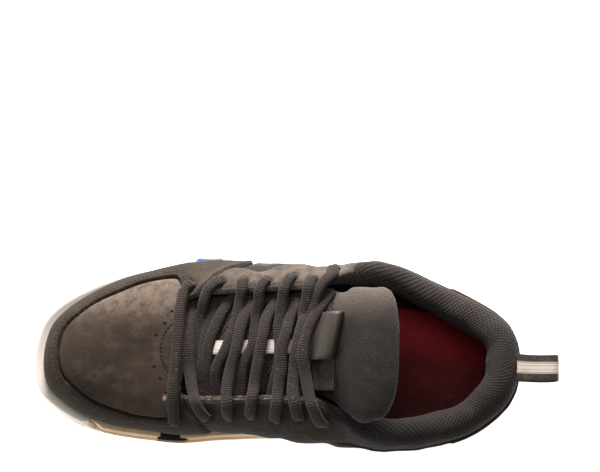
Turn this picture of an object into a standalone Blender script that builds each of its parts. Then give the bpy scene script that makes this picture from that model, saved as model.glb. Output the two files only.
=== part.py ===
"""Low skateboarding shoe for the right foot: a cup sole in two rubbers with side inserts, a padded
upper open at the throat and collar, a tongue, an insole, laces, a lace keeper and a heel pull loop.

Metres. +X points to the toe, +Y to the inner (medial) side, +Z up. The origin is on the floor at the
middle of the heel's flat tread."""
from math import acos, cos, pi, radians, sin

import bmesh
import bpy
import numpy as np
from mathutils import Matrix, Vector

# Driving sizes
SOLE_LENGTH = 0.296
BALL_WIDTH = 0.114
HEEL_CENTRE = 0.170        # share of the length from the heel's back to the origin
FIT = 0.0003               # gap between pieces that are cemented or laid together
COLUMNS = 96               # columns round the shoe, shared by every piece that follows the outline

# Sole heights
TOE_SPRING = 0.011         # height of the toe's underside above the floor
HEEL_BEVEL = 0.004
ARCH_RISE = 0.004
TREAD_THICKNESS = 0.0062
TREAD_ROUND = 0.0026       # how far the tread's lower edge is drawn in
LUG_DEPTH = 0.0026
GROOVE_WIDTH = 0.0034
GROOVE_PITCH = 0.0150
GROOVE_START = 0.034       # share of the length to the first groove
PLAIN_WAIST = (0.31, 0.60) # shares between which the tread has no grooves
CHEVRON_DEPTH = 0.0070
HEEL_STACK = 0.0200        # floor to foot bed at the heel
CUP_DEPTH = 0.0070         # the rim stands this far above the foot bed
RIM_WALL = 0.0058          # outline to the inner face of the rim
TOE_RIM_EXTRA = 0.0022     # the rim is this much wider at the toe
RIM_ROUND = 0.0010         # small step at the rim's inner edge
BUMPER_WALL = 0.0042       # toe bumper in front of the midsole
BUMPER_LEAN = 0.0022       # how far its top edge is drawn in
EDGE_LEAN = 0.0006         # and the tread's own top edge
SIDE_STEP = 0.0013         # ledge along the side of the midsole
RIB_DEPTH = 0.0008

# Upper
INSTEP_HEIGHT = 0.097      # highest point of the eyestay
HEEL_HEIGHT = 0.075        # outer shoulder of the collar at the heel
WALL = 0.0026
COLLAR_PAD = 0.0190        # thickness of the padded collar roll
OVERLAY = 0.0011           # an overlay panel stands this far proud
SEAM_GROOVE = 0.0009
SEAM_WIDTH = 0.0016
COUNTER_STEP = 0.0008
EYELET = 0.0046            # hole through the eyestay
EYELET_SET = {"lateral": 0.0068, "medial": 0.0108}   # throat edge to the holes

# Tongue, insole, lace, keeper and pull loop
LACE_WIDTH = 0.0072
LACE_THICKNESS = 0.0026
TONGUE_THIN = 0.0050
TONGUE_PAD = 0.0130
TONGUE_TUCK = 0.0050       # the tongue reaches this far under the eyestay
TONGUE_TOP_WIDTH = 0.0700
TONGUE_CROWN = 0.0085
INSOLE_THICKNESS = 0.0050
KEEPER_LENGTH = 0.0270
KEEPER_WIDTH = 0.0125
KEEPER_HEIGHT = 0.0085
KEEPER_WALL = 0.0016
LOOP_WIDTH = 0.0160
LOOP_REACH = 0.0235        # the loop stands this far behind the collar
LOOP_WEBBING = 0.0015
LOOP_GAP = 0.0090          # clear height inside the loop

# Sole outline: share of the length from the heel, then the outer and inner side as shares of the
# ball width. The first and last rows are the tips, on the shoe's middle line.
OUTLINE = (
    # share, lateral, medial
    (1.000, 0.031, 0.031),
    (0.985, -0.170, 0.205),
    (0.950, -0.283, 0.294),
    (0.900, -0.370, 0.366),
    (0.840, -0.441, 0.408),
    (0.760, -0.500, 0.434),
    (0.690, -0.538, 0.447),
    (0.620, -0.550, 0.428),
    (0.540, -0.520, 0.415),
    (0.450, -0.470, 0.407),
    (0.350, -0.424, 0.402),
    (0.250, -0.385, 0.398),
    (0.150, -0.345, 0.380),
    (0.070, -0.272, 0.318),
    (0.020, -0.140, 0.188),
    (0.000, 0.022, 0.022),
)

# Height of the foot bed above the tread, as a share of the heel stack
BED = ((0.0, 0.98), (0.20, 1.00), (0.45, 0.86), (0.65, 0.68), (0.85, 0.60), (1.0, 0.56))

# Top line of the upper, keyed by the share of the sole outline that the column starts from. Along is
# a share of the length, across a share of the ball width, up a share of the height at that place.
TOP_LINE = (
    # share, lateral along, across, up, medial along, across, up
    (1.000, 0.680, -0.026, 0.655, 0.680, -0.026, 0.655),
    (0.960, 0.681, -0.090, 0.655, 0.682, 0.045, 0.655),
    (0.880, 0.682, -0.170, 0.652, 0.685, 0.120, 0.650),
    (0.780, 0.681, -0.240, 0.645, 0.688, 0.190, 0.640),
    (0.700, 0.672, -0.290, 0.645, 0.680, 0.232, 0.638),
    (0.620, 0.630, -0.310, 0.710, 0.630, 0.240, 0.700),
    (0.540, 0.555, -0.318, 0.815, 0.555, 0.239, 0.805),
    (0.470, 0.480, -0.321, 0.925, 0.480, 0.240, 0.920),
    (0.410, 0.420, -0.338, 1.000, 0.420, 0.262, 1.000),
    (0.365, 0.380, -0.402, 1.010, 0.375, 0.340, 1.000),
    (0.315, 0.330, -0.468, 0.930, 0.330, 0.428, 0.930),
    (0.255, 0.265, -0.474, 0.770, 0.265, 0.456, 0.800),
    (0.180, 0.190, -0.398, 0.755, 0.190, 0.436, 0.790),
    (0.100, 0.112, -0.305, 0.830, 0.112, 0.375, 0.850),
    (0.040, 0.049, -0.194, 0.950, 0.049, 0.248, 0.960),
    (0.000, 0.022, 0.018, 1.000, 0.022, 0.018, 1.000),
)

# Bulge of the wall between the rim and the top line. Rise and drop are shares of that height, reach a
# share of the distance across, the flares shares of the ball width, pad a share of the collar pad,
# and seam the place of the panel seam on the way up.
PROFILE = (
    # share, rise, lateral flare, medial flare, reach, drop, pad, lateral seam, medial seam
    (1.000, 0.74, 0.010, 0.010, 0.62, 0.20, 0.14, 0.335, 0.335),
    (0.900, 0.72, 0.018, 0.014, 0.60, 0.20, 0.14, 0.350, 0.440),
    (0.780, 0.66, 0.030, 0.020, 0.62, 0.16, 0.14, 0.480, 0.560),
    (0.700, 0.60, 0.036, 0.030, 0.64, 0.14, 0.14, 0.660, 0.680),
    (0.620, 0.56, 0.048, 0.062, 0.66, 0.14, 0.14, 0.600, 0.620),
    (0.540, 0.54, 0.080, 0.110, 0.70, 0.14, 0.14, 0.520, 0.540),
    (0.470, 0.52, 0.116, 0.170, 0.80, 0.14, 0.15, 0.500, 0.520),
    (0.410, 0.50, 0.138, 0.200, 0.80, 0.16, 0.20, 0.520, 0.540),
    (0.365, 0.46, 0.140, 0.195, 0.45, 0.20, 0.44, 0.600, 0.600),
    (0.315, 0.42, 0.120, 0.150, 0.12, 0.26, 0.74, 0.680, 0.680),
    (0.255, 0.40, 0.090, 0.105, 0.00, 0.32, 0.88, 0.720, 0.720),
    (0.180, 0.40, 0.064, 0.080, 0.00, 0.34, 0.92, 0.740, 0.740),
    (0.100, 0.40, 0.034, 0.044, 0.00, 0.34, 0.98, 0.760, 0.760),
    (0.000, 0.40, 0.016, 0.016, 0.00, 0.34, 1.00, 0.780, 0.780),
)

# Eyelets, first at the toe, as shares of the length along the throat edge
EYELETS = {
    "lateral": (0.676, 0.606, 0.563, 0.514, 0.466, 0.424, 0.388),
    "medial": (0.682, 0.630, 0.588, 0.541, 0.495, 0.450, 0.408),
}


def along(share):
    """World x of a share of the sole's length."""
    return (share - HEEL_CENTRE) * SOLE_LENGTH


def ease(value, low, high):
    """0 below low, 1 above high, with a soft run between."""
    part = np.clip((value - low) / (high - low), 0.0, 1.0)
    return part * part * (3.0 - 2.0 * part)


def spline(knots, values, closed=0.0):
    """Smooth curve through the values; closed is the length of the period, if there is one."""
    knots = np.asarray(knots, float)
    values = np.asarray(values, float)
    if closed:
        knots = np.concatenate([knots[-2:] - closed, knots, knots[:2] + closed])
        values = np.concatenate([values[-2:], values, values[:2]])
    slopes = np.gradient(values, knots, axis=0)

    def read(place):
        if closed:
            place = place % closed
        i = int(np.clip(np.searchsorted(knots, place) - 1, 0, len(knots) - 2))
        step = knots[i + 1] - knots[i]
        t = min(max((place - knots[i]) / step, 0.0), 1.0)
        a = (1 + 2 * t) * (1 - t) ** 2
        b = t * (1 - t) ** 2 * step
        c = t * t * (3 - 2 * t)
        d = t * t * (t - 1) * step
        return a * values[i] + b * slopes[i] + c * values[i + 1] + d * slopes[i + 1]

    return read


def turn_of(share, side):
    """Angle round the outline: 0 at the toe, pi at the heel, past pi on the medial side."""
    turn = acos(min(max(2.0 * share - 1.0, -1.0), 1.0))
    if side == "medial":
        turn = 2.0 * pi - turn
    return turn


def share_at(turn):
    return 0.5 + 0.5 * cos(turn)


def ring_table(rows, lateral, medial):
    """Closed spline over the outline's angle, from the lateral and medial columns of a table."""
    knots = [turn_of(row[0], "lateral") for row in rows]
    values = [[row[k] for k in lateral] for row in rows]
    for row in reversed(rows[1:-1]):
        knots.append(turn_of(row[0], "medial"))
        values.append([row[k] for k in medial])
    return spline(knots, values, 2.0 * pi)


outline_across = ring_table(OUTLINE, (1,), (2,))
top_line = ring_table(TOP_LINE, (1, 2, 3), (4, 5, 6))
wall_form = ring_table(PROFILE, (1, 2, 4, 5, 6, 7), (1, 3, 4, 5, 6, 8))
bed_rise = spline([row[0] for row in BED], [row[1] for row in BED])


def underside(share):
    """Height of the tread above the floor: heel bevel, arch and toe spring."""
    toe = max(share - 0.78, 0.0) / 0.22
    heel = max(0.05 - share, 0.0) / 0.05
    waist = min(max((share - 0.34) / 0.22, 0.0), 1.0)
    return TOE_SPRING * toe ** 1.8 + HEEL_BEVEL * heel ** 2 + ARCH_RISE * sin(pi * waist) ** 2


def tread_top(share):
    return underside(share) + TREAD_THICKNESS


def foot_bed(share):
    return underside(share) + HEEL_STACK * float(bed_rise(share))


def rim_top(share):
    return foot_bed(share) + CUP_DEPTH


def side_ledge(share):
    """Height of the ledge along the side of the midsole."""
    return tread_top(share) + 0.55 * (rim_top(share) - tread_top(share))


def rim_width(share):
    return RIM_WALL + TOE_RIM_EXTRA * float(ease(share, 0.80, 0.99))


def outline(turn):
    return Vector((along(share_at(turn)), float(outline_across(turn)[0]) * BALL_WIDTH, 0.0))


def outward(turn):
    """Level direction square to the outline."""
    step = outline(turn + 0.01) - outline(turn - 0.01)
    return Vector((-step.y, step.x, 0.0)).normalized()


def inside(turn, inset, level, lift=0.0):
    """A point drawn in from the outline, on a level that is a function of the share it lies at."""
    point = outline(turn) - outward(turn) * inset
    point.z = level(point.x / SOLE_LENGTH + HEEL_CENTRE) + lift
    return point


TURNS = [2.0 * pi * i / COLUMNS for i in range(COLUMNS)]


def side_of(turn):
    if turn <= pi:
        return "lateral"
    return "medial"


def material(name, colour, roughness, metallic=0.0):
    made = bpy.data.materials.new(name)
    made.use_nodes = True
    shader = made.node_tree.nodes["Principled BSDF"]
    shader.inputs["Base Color"].default_value = (*colour, 1.0)
    shader.inputs["Roughness"].default_value = roughness
    shader.inputs["Metallic"].default_value = metallic
    made.diffuse_color = (*colour, 1.0)
    return made


def finish_mesh(name, work, look, angle=40.0):
    """Turn a bmesh into a named object with its material."""
    bmesh.ops.recalc_face_normals(work, faces=work.faces)
    mesh = bpy.data.meshes.new(name)
    work.to_mesh(mesh)
    work.free()
    mesh.materials.append(look)
    mesh.shade_smooth()
    mesh.set_sharp_from_angle(angle=radians(angle))
    made = bpy.data.objects.new(name, mesh)
    bpy.context.scene.collection.objects.link(made)
    return made


def add_rings(work, rings, closed_rows=False):
    """Skin closed rings of points with faces; returns the rings of vertices."""
    rows = [[work.verts.new(point) for point in ring] for ring in rings]
    count = len(rows[0])
    last = len(rows) if closed_rows else len(rows) - 1
    for r in range(last):
        low = rows[r]
        high = rows[(r + 1) % len(rows)]
        for i in range(count):
            j = (i + 1) % count
            work.faces.new((low[i], low[j], high[j], high[i]))
    return rows


def add_ladder(work, ring):
    """Close a ring that starts at the toe with rungs from the lateral to the medial side."""
    half = len(ring) // 2
    work.faces.new((ring[0], ring[1], ring[-1]))
    for i in range(1, half - 1):
        work.faces.new((ring[i], ring[i + 1], ring[-i - 1], ring[-i]))
    work.faces.new((ring[half - 1], ring[half], ring[half + 1]))


def combine(target, guide_shape, name, operation):
    """Join a guide object to the target, or cut it away, with an exact Boolean."""
    guide = bpy.data.objects.new(name, guide_shape)
    bpy.context.scene.collection.objects.link(guide)
    guide.hide_render = True
    guide.display_type = "WIRE"
    step = target.modifiers.new(name, "BOOLEAN")
    step.operation = operation
    step.solver = "EXACT"
    step.object = guide


def cut(target, guide_shape, name):
    combine(target, guide_shape, name, "DIFFERENCE")


def join(target, guide_shape, name):
    combine(target, guide_shape, name, "UNION")


def add_prism(work, flat, low, high):
    """Upright prism over a flat outline."""
    bottom = [work.verts.new((p[0], p[1], low)) for p in flat]
    top = [work.verts.new((p[0], p[1], high)) for p in flat]
    work.faces.new(bottom[::-1])
    work.faces.new(top)
    for i in range(len(flat)):
        j = (i + 1) % len(flat)
        work.faces.new((bottom[i], bottom[j], top[j], top[i]))


def guide_mesh(name, work):
    bmesh.ops.recalc_face_normals(work, faces=work.faces)
    mesh = bpy.data.meshes.new(name)
    work.to_mesh(mesh)
    work.free()
    return mesh


# Outer sole: tread plate with chevron lugs, and a toe bumper that stands in front of the midsole
BUMPER_END = {"lateral": 0.745, "medial": 0.885}    # share where the bumper stops
BUMPER_NOTCH = 0.031                                # share between the bumper and the midsole's side


def has_bumper(turn):
    return share_at(turn) >= BUMPER_END[side_of(turn)]


def midsole_inset(turn):
    """The midsole's side stands behind the bumper, and comes out to the outline past the notch."""
    if share_at(turn) >= BUMPER_END[side_of(turn)] - BUMPER_NOTCH:
        return BUMPER_WALL + FIT
    return 0.0


def make_outsole(look):
    work = bmesh.new()
    rings = [[] for _ in range(5)]
    for turn in TURNS:
        lip = tread_top
        lean = EDGE_LEAN
        if has_bumper(turn):
            lip = rim_top
            lean = BUMPER_LEAN
        rings[0].append(inside(turn, TREAD_ROUND, underside))
        rings[1].append(inside(turn, 0.0, underside, 0.6 * TREAD_THICKNESS))
        rings[2].append(inside(turn, lean, lip))
        rings[3].append(inside(turn, BUMPER_WALL - 0.4 * RIM_ROUND, lip))
        rings[4].append(inside(turn, BUMPER_WALL, tread_top))
    rows = add_rings(work, rings)
    add_ladder(work, rows[0])
    add_ladder(work, rows[-1])
    made = finish_mesh("outsole", work, look)
    guides = bmesh.new()
    half = 0.62 * BALL_WIDTH
    pitch = GROOVE_PITCH / SOLE_LENGTH
    shares = [GROOVE_START + pitch * k for k in range(int((1.0 - GROOVE_START) / pitch))]
    for share in shares:
        if PLAIN_WAIST[0] < share < PLAIN_WAIST[1]:
            continue
        left = along(share)
        right = left + GROOVE_WIDTH
        flat = [(left + CHEVRON_DEPTH, -half), (left, -0.5 * half), (left + CHEVRON_DEPTH, 0.0)]
        flat += [(left, 0.5 * half), (left + CHEVRON_DEPTH, half)]
        flat += [(x + right - left, y) for x, y in reversed(flat)]
        add_prism(guides, flat, -LUG_DEPTH, underside(share) + LUG_DEPTH)
    cut(made, guide_mesh("groove_guide", guides), "groove_guide")
    return made


# Side inserts: share of the middle, half length, half height above the tread, and how proud they stand
INSERTS = {
    "lateral": {"share": 0.642, "half": 0.0105, "low": 0.0020, "high": 0.0105, "proud": 0.0016},
    "medial": {"share": 0.710, "half": 0.0105, "low": 0.0020, "high": 0.0095, "proud": 0.0006},
}
INSERT_DEPTH = 0.0034
INSERT_TAPER = 0.22        # the top edge is this share shorter than the foot


def insert_body(side, grow, proud):
    """Rounded wedge let into the side of the midsole; grow widens it into its pocket."""
    sizes = INSERTS[side]
    turn = turn_of(sizes["share"], side)
    middle = outline(turn)
    way = Vector((1.0, 0.0, 0.0))
    out = Vector((0.0, 1.0 if side == "medial" else -1.0, 0.0))
    low = tread_top(sizes["share"]) + sizes["low"] - grow
    high = tread_top(sizes["share"]) + sizes["high"] + grow
    work = bmesh.new()
    steps = 8
    rings = []
    depths = ((-INSERT_DEPTH - grow, 1.0), (proud * 0.2, 1.0), (proud, 0.72))
    for depth, size in depths:
        ring = []
        for k in range(2 * steps):
            angle = 2.0 * pi * (k + 0.5) / (2 * steps)
            a = np.sign(cos(angle)) * abs(cos(angle)) ** 0.55
            b = np.sign(sin(angle)) * abs(sin(angle)) ** 0.55
            length = (sizes["half"] * (1.0 - INSERT_TAPER * 0.5 * (b + 1.0)) + grow) * size
            height = 0.5 * (low + high) + 0.5 * (high - low) * b * (0.5 + 0.5 * size)
            ring.append(middle + way * (a * length) + out * depth + Vector((0, 0, height)))
        rings.append(ring)
    rows = add_rings(work, rings)
    work.faces.new(rows[0])
    work.faces.new(rows[-1])
    return work


def make_insert(side, name, look):
    return finish_mesh(name, insert_body(side, 0.0, INSERTS[side]["proud"]), look)


def make_midsole(look):
    """Cup sole wall and foot bed, with a ledge and ribs along its side."""
    work = bmesh.new()
    rings = [[] for _ in range(9)]
    for i, turn in enumerate(TURNS):
        share = share_at(turn)
        side = midsole_inset(turn)
        free = 0.0 if side else 1.0
        fade = float(ease(share, 0.20, 0.28) * (1.0 - ease(share, 0.50, 0.56)))
        rib = RIB_DEPTH * (i % 2) * free * fade
        step = SIDE_STEP * free
        rings[0].append(inside(turn, side + 0.0010 * free, tread_top, FIT))
        rings[1].append(inside(turn, side + rib, tread_top, 0.0016))
        rings[2].append(inside(turn, side + rib, side_ledge))
        rings[3].append(inside(turn, side + step, side_ledge, 0.0008))
        rings[4].append(inside(turn, side + step + 0.0004 * free, rim_top, -0.0012))
        rings[5].append(inside(turn, side + step + 0.0010 * free + 0.0003, rim_top))
        rings[6].append(inside(turn, rim_width(share) - 0.4 * RIM_ROUND, rim_top))
        rings[7].append(inside(turn, rim_width(share), rim_top, -RIM_ROUND))
        rings[8].append(inside(turn, rim_width(share), foot_bed))
    rows = add_rings(work, rings)
    add_ladder(work, rows[0])
    add_ladder(work, rows[-1])
    made = finish_mesh("midsole", work, look)
    for side in INSERTS:
        pocket = insert_body(side, FIT, 4.0 * INSERTS[side]["proud"])
        cut(made, guide_mesh(side + "_pocket", pocket), side + "_pocket")
    return made


# Upper: every column is one profile that climbs from the cup to the top line, turns over the edge in
# a half round, and comes back down inside
WALL_STEPS = (0.25, 0.5, 0.75)
UPPER_STEPS = (0.22, 0.45, 0.66, 0.84, 0.95, 1.0)
ROLL_STEPS = (45, 90, 135)
PROBE = 0.01               # step along the form at which its slope is read
INNER_STEPS = (0.92, 0.70, 0.45, 0.20, 0.0)


def blend_curve(p, t):
    """Point on a cubic Bezier curve."""
    s = 1.0 - t
    return p[0] * s ** 3 + p[1] * 3 * t * s ** 2 + p[2] * 3 * t ** 2 * s + p[3] * t ** 3


def top_height(up, share):
    """Height of the top line: heel height at the back, instep height from the eyestay on."""
    weight = min(max(share / 0.42, 0.0), 1.0)
    return up * (HEEL_HEIGHT + (INSTEP_HEIGHT - HEEL_HEIGHT) * weight)


def column(turn):
    """Sizes of the upper's profile at one place round the outline."""
    share = share_at(turn)
    way = outward(turn)
    base = inside(turn, rim_width(share) + FIT, foot_bed, FIT)
    lip = inside(turn, rim_width(share) + FIT, rim_top, 0.5 * FIT)
    ahead, across, up = top_line(turn)
    rise, flare, reach, drop, pad, seam = wall_form(turn)
    top = Vector((along(ahead), across * BALL_WIDTH, top_height(up, ahead)))
    height = top.z - lip.z
    level = Vector((lip.x - top.x, lip.y - top.y, 0.0))
    p1 = lip + way * (flare * BALL_WIDTH) + Vector((0, 0, rise * height))
    p2 = top + level * max(reach, 0.0) - Vector((0, 0, drop * height))
    p2 += way * (0.45 * flare * BALL_WIDTH)
    tangent = (top - p2).normalized()
    side = tangent.cross(Vector((-way.y, way.x, 0.0)))
    normal = side.normalized()
    if normal.dot(way) + normal.z * 0.6 < 0:
        normal = -normal
    return {
        "share": share, "way": way, "base": base, "outer": (lip, p1, p2, top),
        "tangent": tangent, "normal": normal, "pad": pad * COLLAR_PAD, "seam": float(seam),
    }


def overlay_height(share, above):
    """How far the panels stand proud below and above the seam."""
    toe = float(ease(share, 0.655, 0.69))
    heel = 1.0 - float(ease(share, 0.36, 0.40))
    if above:
        return OVERLAY * (1.0 - toe) * (1.0 - heel)
    counter = 1.0 - float(ease(share, 0.15, 0.17))
    return OVERLAY * max(toe, heel) + COUNTER_STEP * counter


def wall_point(turn, t):
    """Point and normal on the upper's plain outer form."""
    col = column(turn)
    point = blend_curve(col["outer"], t)
    rise = blend_curve(col["outer"], min(t + PROBE, 1.0))
    rise -= blend_curve(col["outer"], max(t - PROBE, 0.0))
    near = column(turn + PROBE)
    far = column(turn - PROBE)
    round_way = blend_curve(near["outer"], t) - blend_curve(far["outer"], t)
    normal = rise.cross(round_way).normalized()
    if normal.dot(col["way"]) + 0.6 * normal.z < 0:
        normal = -normal
    return point, normal


def make_upper(look):
    work = bmesh.new()
    columns = []
    for turn in TURNS:
        col = column(turn)
        seam = col["seam"]
        gap = SEAM_WIDTH / (col["outer"][3] - col["outer"][0]).length
        profile = [col["base"], col["outer"][0]]
        steps = [(seam * k, False) for k in WALL_STEPS]
        steps += [(seam - gap, False), (seam, None)]
        steps += [(seam + gap + (1.0 - seam - gap) * k, True) for k in (0.0,) + UPPER_STEPS]
        for t, above in steps:
            point, normal = wall_point(turn, t)
            if above is None:
                proud = -SEAM_GROOVE + overlay_height(col["share"], True)
            else:
                proud = overlay_height(col["share"], above)
            if t >= 1.0:
                proud = 0.0
            if above is False:
                proud *= float(ease(t / seam, 0.0, 0.22))
            profile.append(point + normal * proud)
        top = col["outer"][3]
        middle = top - col["normal"] * (0.5 * col["pad"])
        for angle in ROLL_STEPS:
            lean = radians(angle)
            arm = col["normal"] * cos(lean) + col["tangent"] * sin(lean)
            profile.append(middle + arm * (0.5 * col["pad"]))
        lip, p1, p2, _ = col["outer"]
        far = top - col["normal"] * col["pad"]
        inner = (lip - col["way"] * WALL, p1 - col["way"] * WALL - Vector((0, 0, 0.5 * WALL)),
                 p2 - col["normal"] * col["pad"], far)
        profile += [blend_curve(inner, t) for t in INNER_STEPS]
        profile.append(col["base"] - col["way"] * WALL)
        columns.append(profile)
    rings = [[profile[r] for profile in columns] for r in range(len(columns[0]))]
    add_rings(work, rings, closed_rows=True)
    bmesh.ops.triangulate(work, faces=work.faces)
    made = finish_mesh("upper", work, look, 50.0)
    guides = bmesh.new()
    for side in EYELETS:
        for share in EYELETS[side]:
            spot, normal = eyelet(side, share)
            spin = normal.to_track_quat("Z", "Y").to_matrix().to_4x4()
            place = Matrix.Translation(spot) @ spin
            bmesh.ops.create_cone(
                guides, cap_ends=True, segments=10, radius1=0.5 * EYELET, radius2=0.5 * EYELET,
                depth=6.0 * WALL, matrix=place)
    cut(made, guide_mesh("eyelet_guide", guides), "eyelet_guide")
    return made


def throat_turn(side, share):
    """Place round the outline whose column ends at this share of the throat or collar edge."""
    low, high = (0.30, 0.84)
    for _ in range(40):
        middle = 0.5 * (low + high)
        if top_line(turn_of(middle, side))[0] < share:
            low = middle
        else:
            high = middle
    return turn_of(0.5 * (low + high), side)


def eyelet(side, share):
    """Middle and normal of an eyelet, set in from the throat edge along the wall."""
    turn = throat_turn(side, share)
    top = column(turn)["outer"][3]
    t = 1.0
    while t > 0.3:
        point, normal = wall_point(turn, t)
        if (point - top).length >= EYELET_SET[side]:
            break
        t -= 0.01
    return point, normal


def clear_scene():
    for old in list(bpy.data.objects):
        bpy.data.objects.remove(old, do_unlink=True)


# Tongue, from under the vamp to its padded top. Tuck is a share of the tuck under the eyestay, own a
# share from the throat's width to the tongue's own top width, up a share of the instep height, and
# the last two are shares of the crown and of the way from the thin to the padded thickness.
TONGUE = (
    # share, tuck, own, centre shift, up, crown, pad
    (0.712, -0.5, 0.0, 0.000, 0.545, 0.30, 0.00),
    (0.668, -0.8, 0.0, 0.000, 0.585, 0.45, 0.00),
    (0.630, -0.2, 0.0, 0.000, 0.680, 0.80, 0.00),
    (0.555, 0.3, 0.0, 0.000, 0.800, 1.00, 0.05),
    (0.480, 0.0, 0.0, 0.000, 0.915, 1.00, 0.10),
    (0.425, -1.4, 0.0, -0.010, 1.010, 0.90, 0.20),
    (0.400, -2.0, 0.0, -0.020, 1.065, 0.80, 0.35),
    (0.370, -1.6, 0.5, -0.004, 1.125, 0.70, 0.60),
    (0.330, 0.0, 1.0, 0.013, 1.195, 0.60, 0.90),
    (0.308, 0.0, 1.0, 0.013, 1.228, 0.56, 1.00),
    (0.293, -0.2, 0.0, 0.047, 1.240, 0.52, 0.95),
    (0.280, -1.1, 0.0, 0.047, 1.240, 0.45, 0.80),
    (0.271, -2.7, 0.0, 0.047, 1.228, 0.35, 0.55),
    (0.267, -4.5, 0.0, 0.047, 1.210, 0.20, 0.30),
)
tongue_row = spline([row[0] for row in reversed(TONGUE)], [row[1:] for row in reversed(TONGUE)])
TONGUE_ACROSS = 10
TONGUE_ROWS = (0.712, 0.690, 0.668, 0.650, 0.630, 0.600, 0.570, 0.540, 0.510, 0.480, 0.452, 0.425,
               0.400, 0.375, 0.352, 0.330, 0.312, 0.298, 0.286, 0.277, 0.271, 0.267)


def throat_edges(share):
    """Ends of the throat's width at a share of the length, on the top line."""
    place = min(max(share, 0.40), 0.655)
    return [column(throat_turn(side, place))["outer"][3] for side in ("lateral", "medial")]


def tongue_section(share):
    """Middle, half width, crown height and thickness of the tongue."""
    tuck, own, shift, up, crown, pad = tongue_row(share)
    lateral, medial = throat_edges(share)
    throat_half = 0.5 * (medial.y - lateral.y) + tuck * TONGUE_TUCK
    half = throat_half + (0.5 * TONGUE_TOP_WIDTH - throat_half) * own
    middle = 0.5 * (medial.y + lateral.y) * (1.0 - own) + shift * BALL_WIDTH
    thick = TONGUE_THIN + (TONGUE_PAD - TONGUE_THIN) * max(pad, 0.0)
    return middle, half, up * INSTEP_HEIGHT, crown * TONGUE_CROWN, thick


def tongue_top(share, across):
    """Height of the tongue's outer face."""
    middle, half, up, crown, _ = tongue_section(share)
    place = min(abs(across - middle) / half, 1.0)
    return up - crown * place ** 2


def make_tongue(look):
    work = bmesh.new()
    rings = []
    for share in TONGUE_ROWS:
        middle, half, up, crown, thick = tongue_section(share)
        ring = []
        for k in range(2 * TONGUE_ACROSS):
            angle = 2.0 * pi * (k + 0.5) / (2 * TONGUE_ACROSS)
            a = np.sign(cos(angle)) * abs(cos(angle)) ** 0.7
            b = np.sign(sin(angle)) * abs(sin(angle)) ** 0.6
            height = up - crown * a * a - 0.5 * thick * (1.0 - b)
            ring.append(Vector((along(share), middle + a * half, height)))
        rings.append(ring)
    rows = add_rings(work, rings)
    work.faces.new(rows[0])
    work.faces.new(rows[-1])
    return finish_mesh("tongue", work, look, 50.0)


def make_insole(look):
    work = bmesh.new()
    rings = [[] for _ in range(4)]
    for turn in TURNS:
        edge = rim_width(share_at(turn)) + 2.0 * FIT + WALL
        rings[0].append(inside(turn, edge + 0.0006, foot_bed, FIT))
        rings[1].append(inside(turn, edge, foot_bed, FIT + 0.0008))
        rings[2].append(inside(turn, edge, foot_bed, INSOLE_THICKNESS - 0.0010))
        rings[3].append(inside(turn, edge + 0.0014, foot_bed, INSOLE_THICKNESS))
    rows = add_rings(work, rings)
    add_ladder(work, rows[0])
    add_ladder(work, rows[-1])
    return finish_mesh("insole", work, look)


# Lace: strands from the lateral to the medial row of eyelets. Each end names its eyelet, whether it
# lies over the eyestay, and the share of the length where it crosses the throat edge.
STRANDS = (
    # lateral eyelet, over, share at the edge, middle share, medial eyelet, over, share at the edge
    (1, True, 0.676, 0.692, 1, True, 0.700),
    (1, False, 0.662, 0.668, 2, True, 0.659),
    (2, True, 0.629, 0.649, 1, False, 0.650),
    (2, False, 0.587, 0.629, 2, False, 0.634),
    (3, True, 0.565, 0.595, 2, False, 0.617),
    (3, False, 0.546, 0.574, 3, True, 0.595),
    (4, True, 0.530, 0.545, 3, False, 0.579),
    (4, False, 0.500, 0.527, 4, True, 0.547),
    (5, True, 0.482, 0.491, 4, False, 0.534),
    (5, False, 0.457, 0.486, 5, True, 0.498),
    (6, True, 0.441, 0.455, 5, False, 0.489),
    (6, False, 0.447, 0.461, 6, True, 0.466),
    (7, True, 0.418, 0.440, 6, False, 0.456),
    (7, False, 0.420, 0.447, 7, True, 0.434),
)
STRAND_GROUPS = ((1,), (2, 3, 4, 5), (6,), (7, 8), (9, 10, 12, 11, 13, 14))
LACE_SIDES = 6
STRAND_STEPS = 9
LACE_END_SET = 0.0033      # a strand that dives under ends this far inside the throat edge
LACE_ARCH = 0.0008         # a strand over the eyestay stands this much clear of it


def lace_lift():
    """Middle of the lace above what it lies on, with room for the slope of the instep."""
    return 1.15 * (0.5 * LACE_THICKNESS + FIT) + FIT


def strand_floor(share, across):
    """What a strand lies on: the tongue, or the back edge of the vamp in front of it."""
    low = tongue_top(share, across)
    if share > 0.670:
        low = max(low, column(0.0)["outer"][3].z + FIT)
    return low


def strand_end(side, number, over, share):
    """Points from the eyelet to the inner side of the throat edge, or the one point under it."""
    top = column(throat_turn(side, min(share, 0.674)))["outer"][3]
    inward = 1.0 if side == "lateral" else -1.0
    if not over:
        across = top.y + inward * LACE_END_SET
        return [Vector((along(share), across, tongue_top(share, across) + lace_lift()))]
    spot, normal = eyelet(side, EYELETS[side][number - 1])
    lift = lace_lift() + OVERLAY
    edge = Vector((along(share), top.y, top.z + lift + LACE_ARCH))
    start = spot + normal * lift
    middle = 0.5 * (start + edge) + Vector((0, 0, LACE_ARCH))
    return [start, middle, edge]


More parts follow.
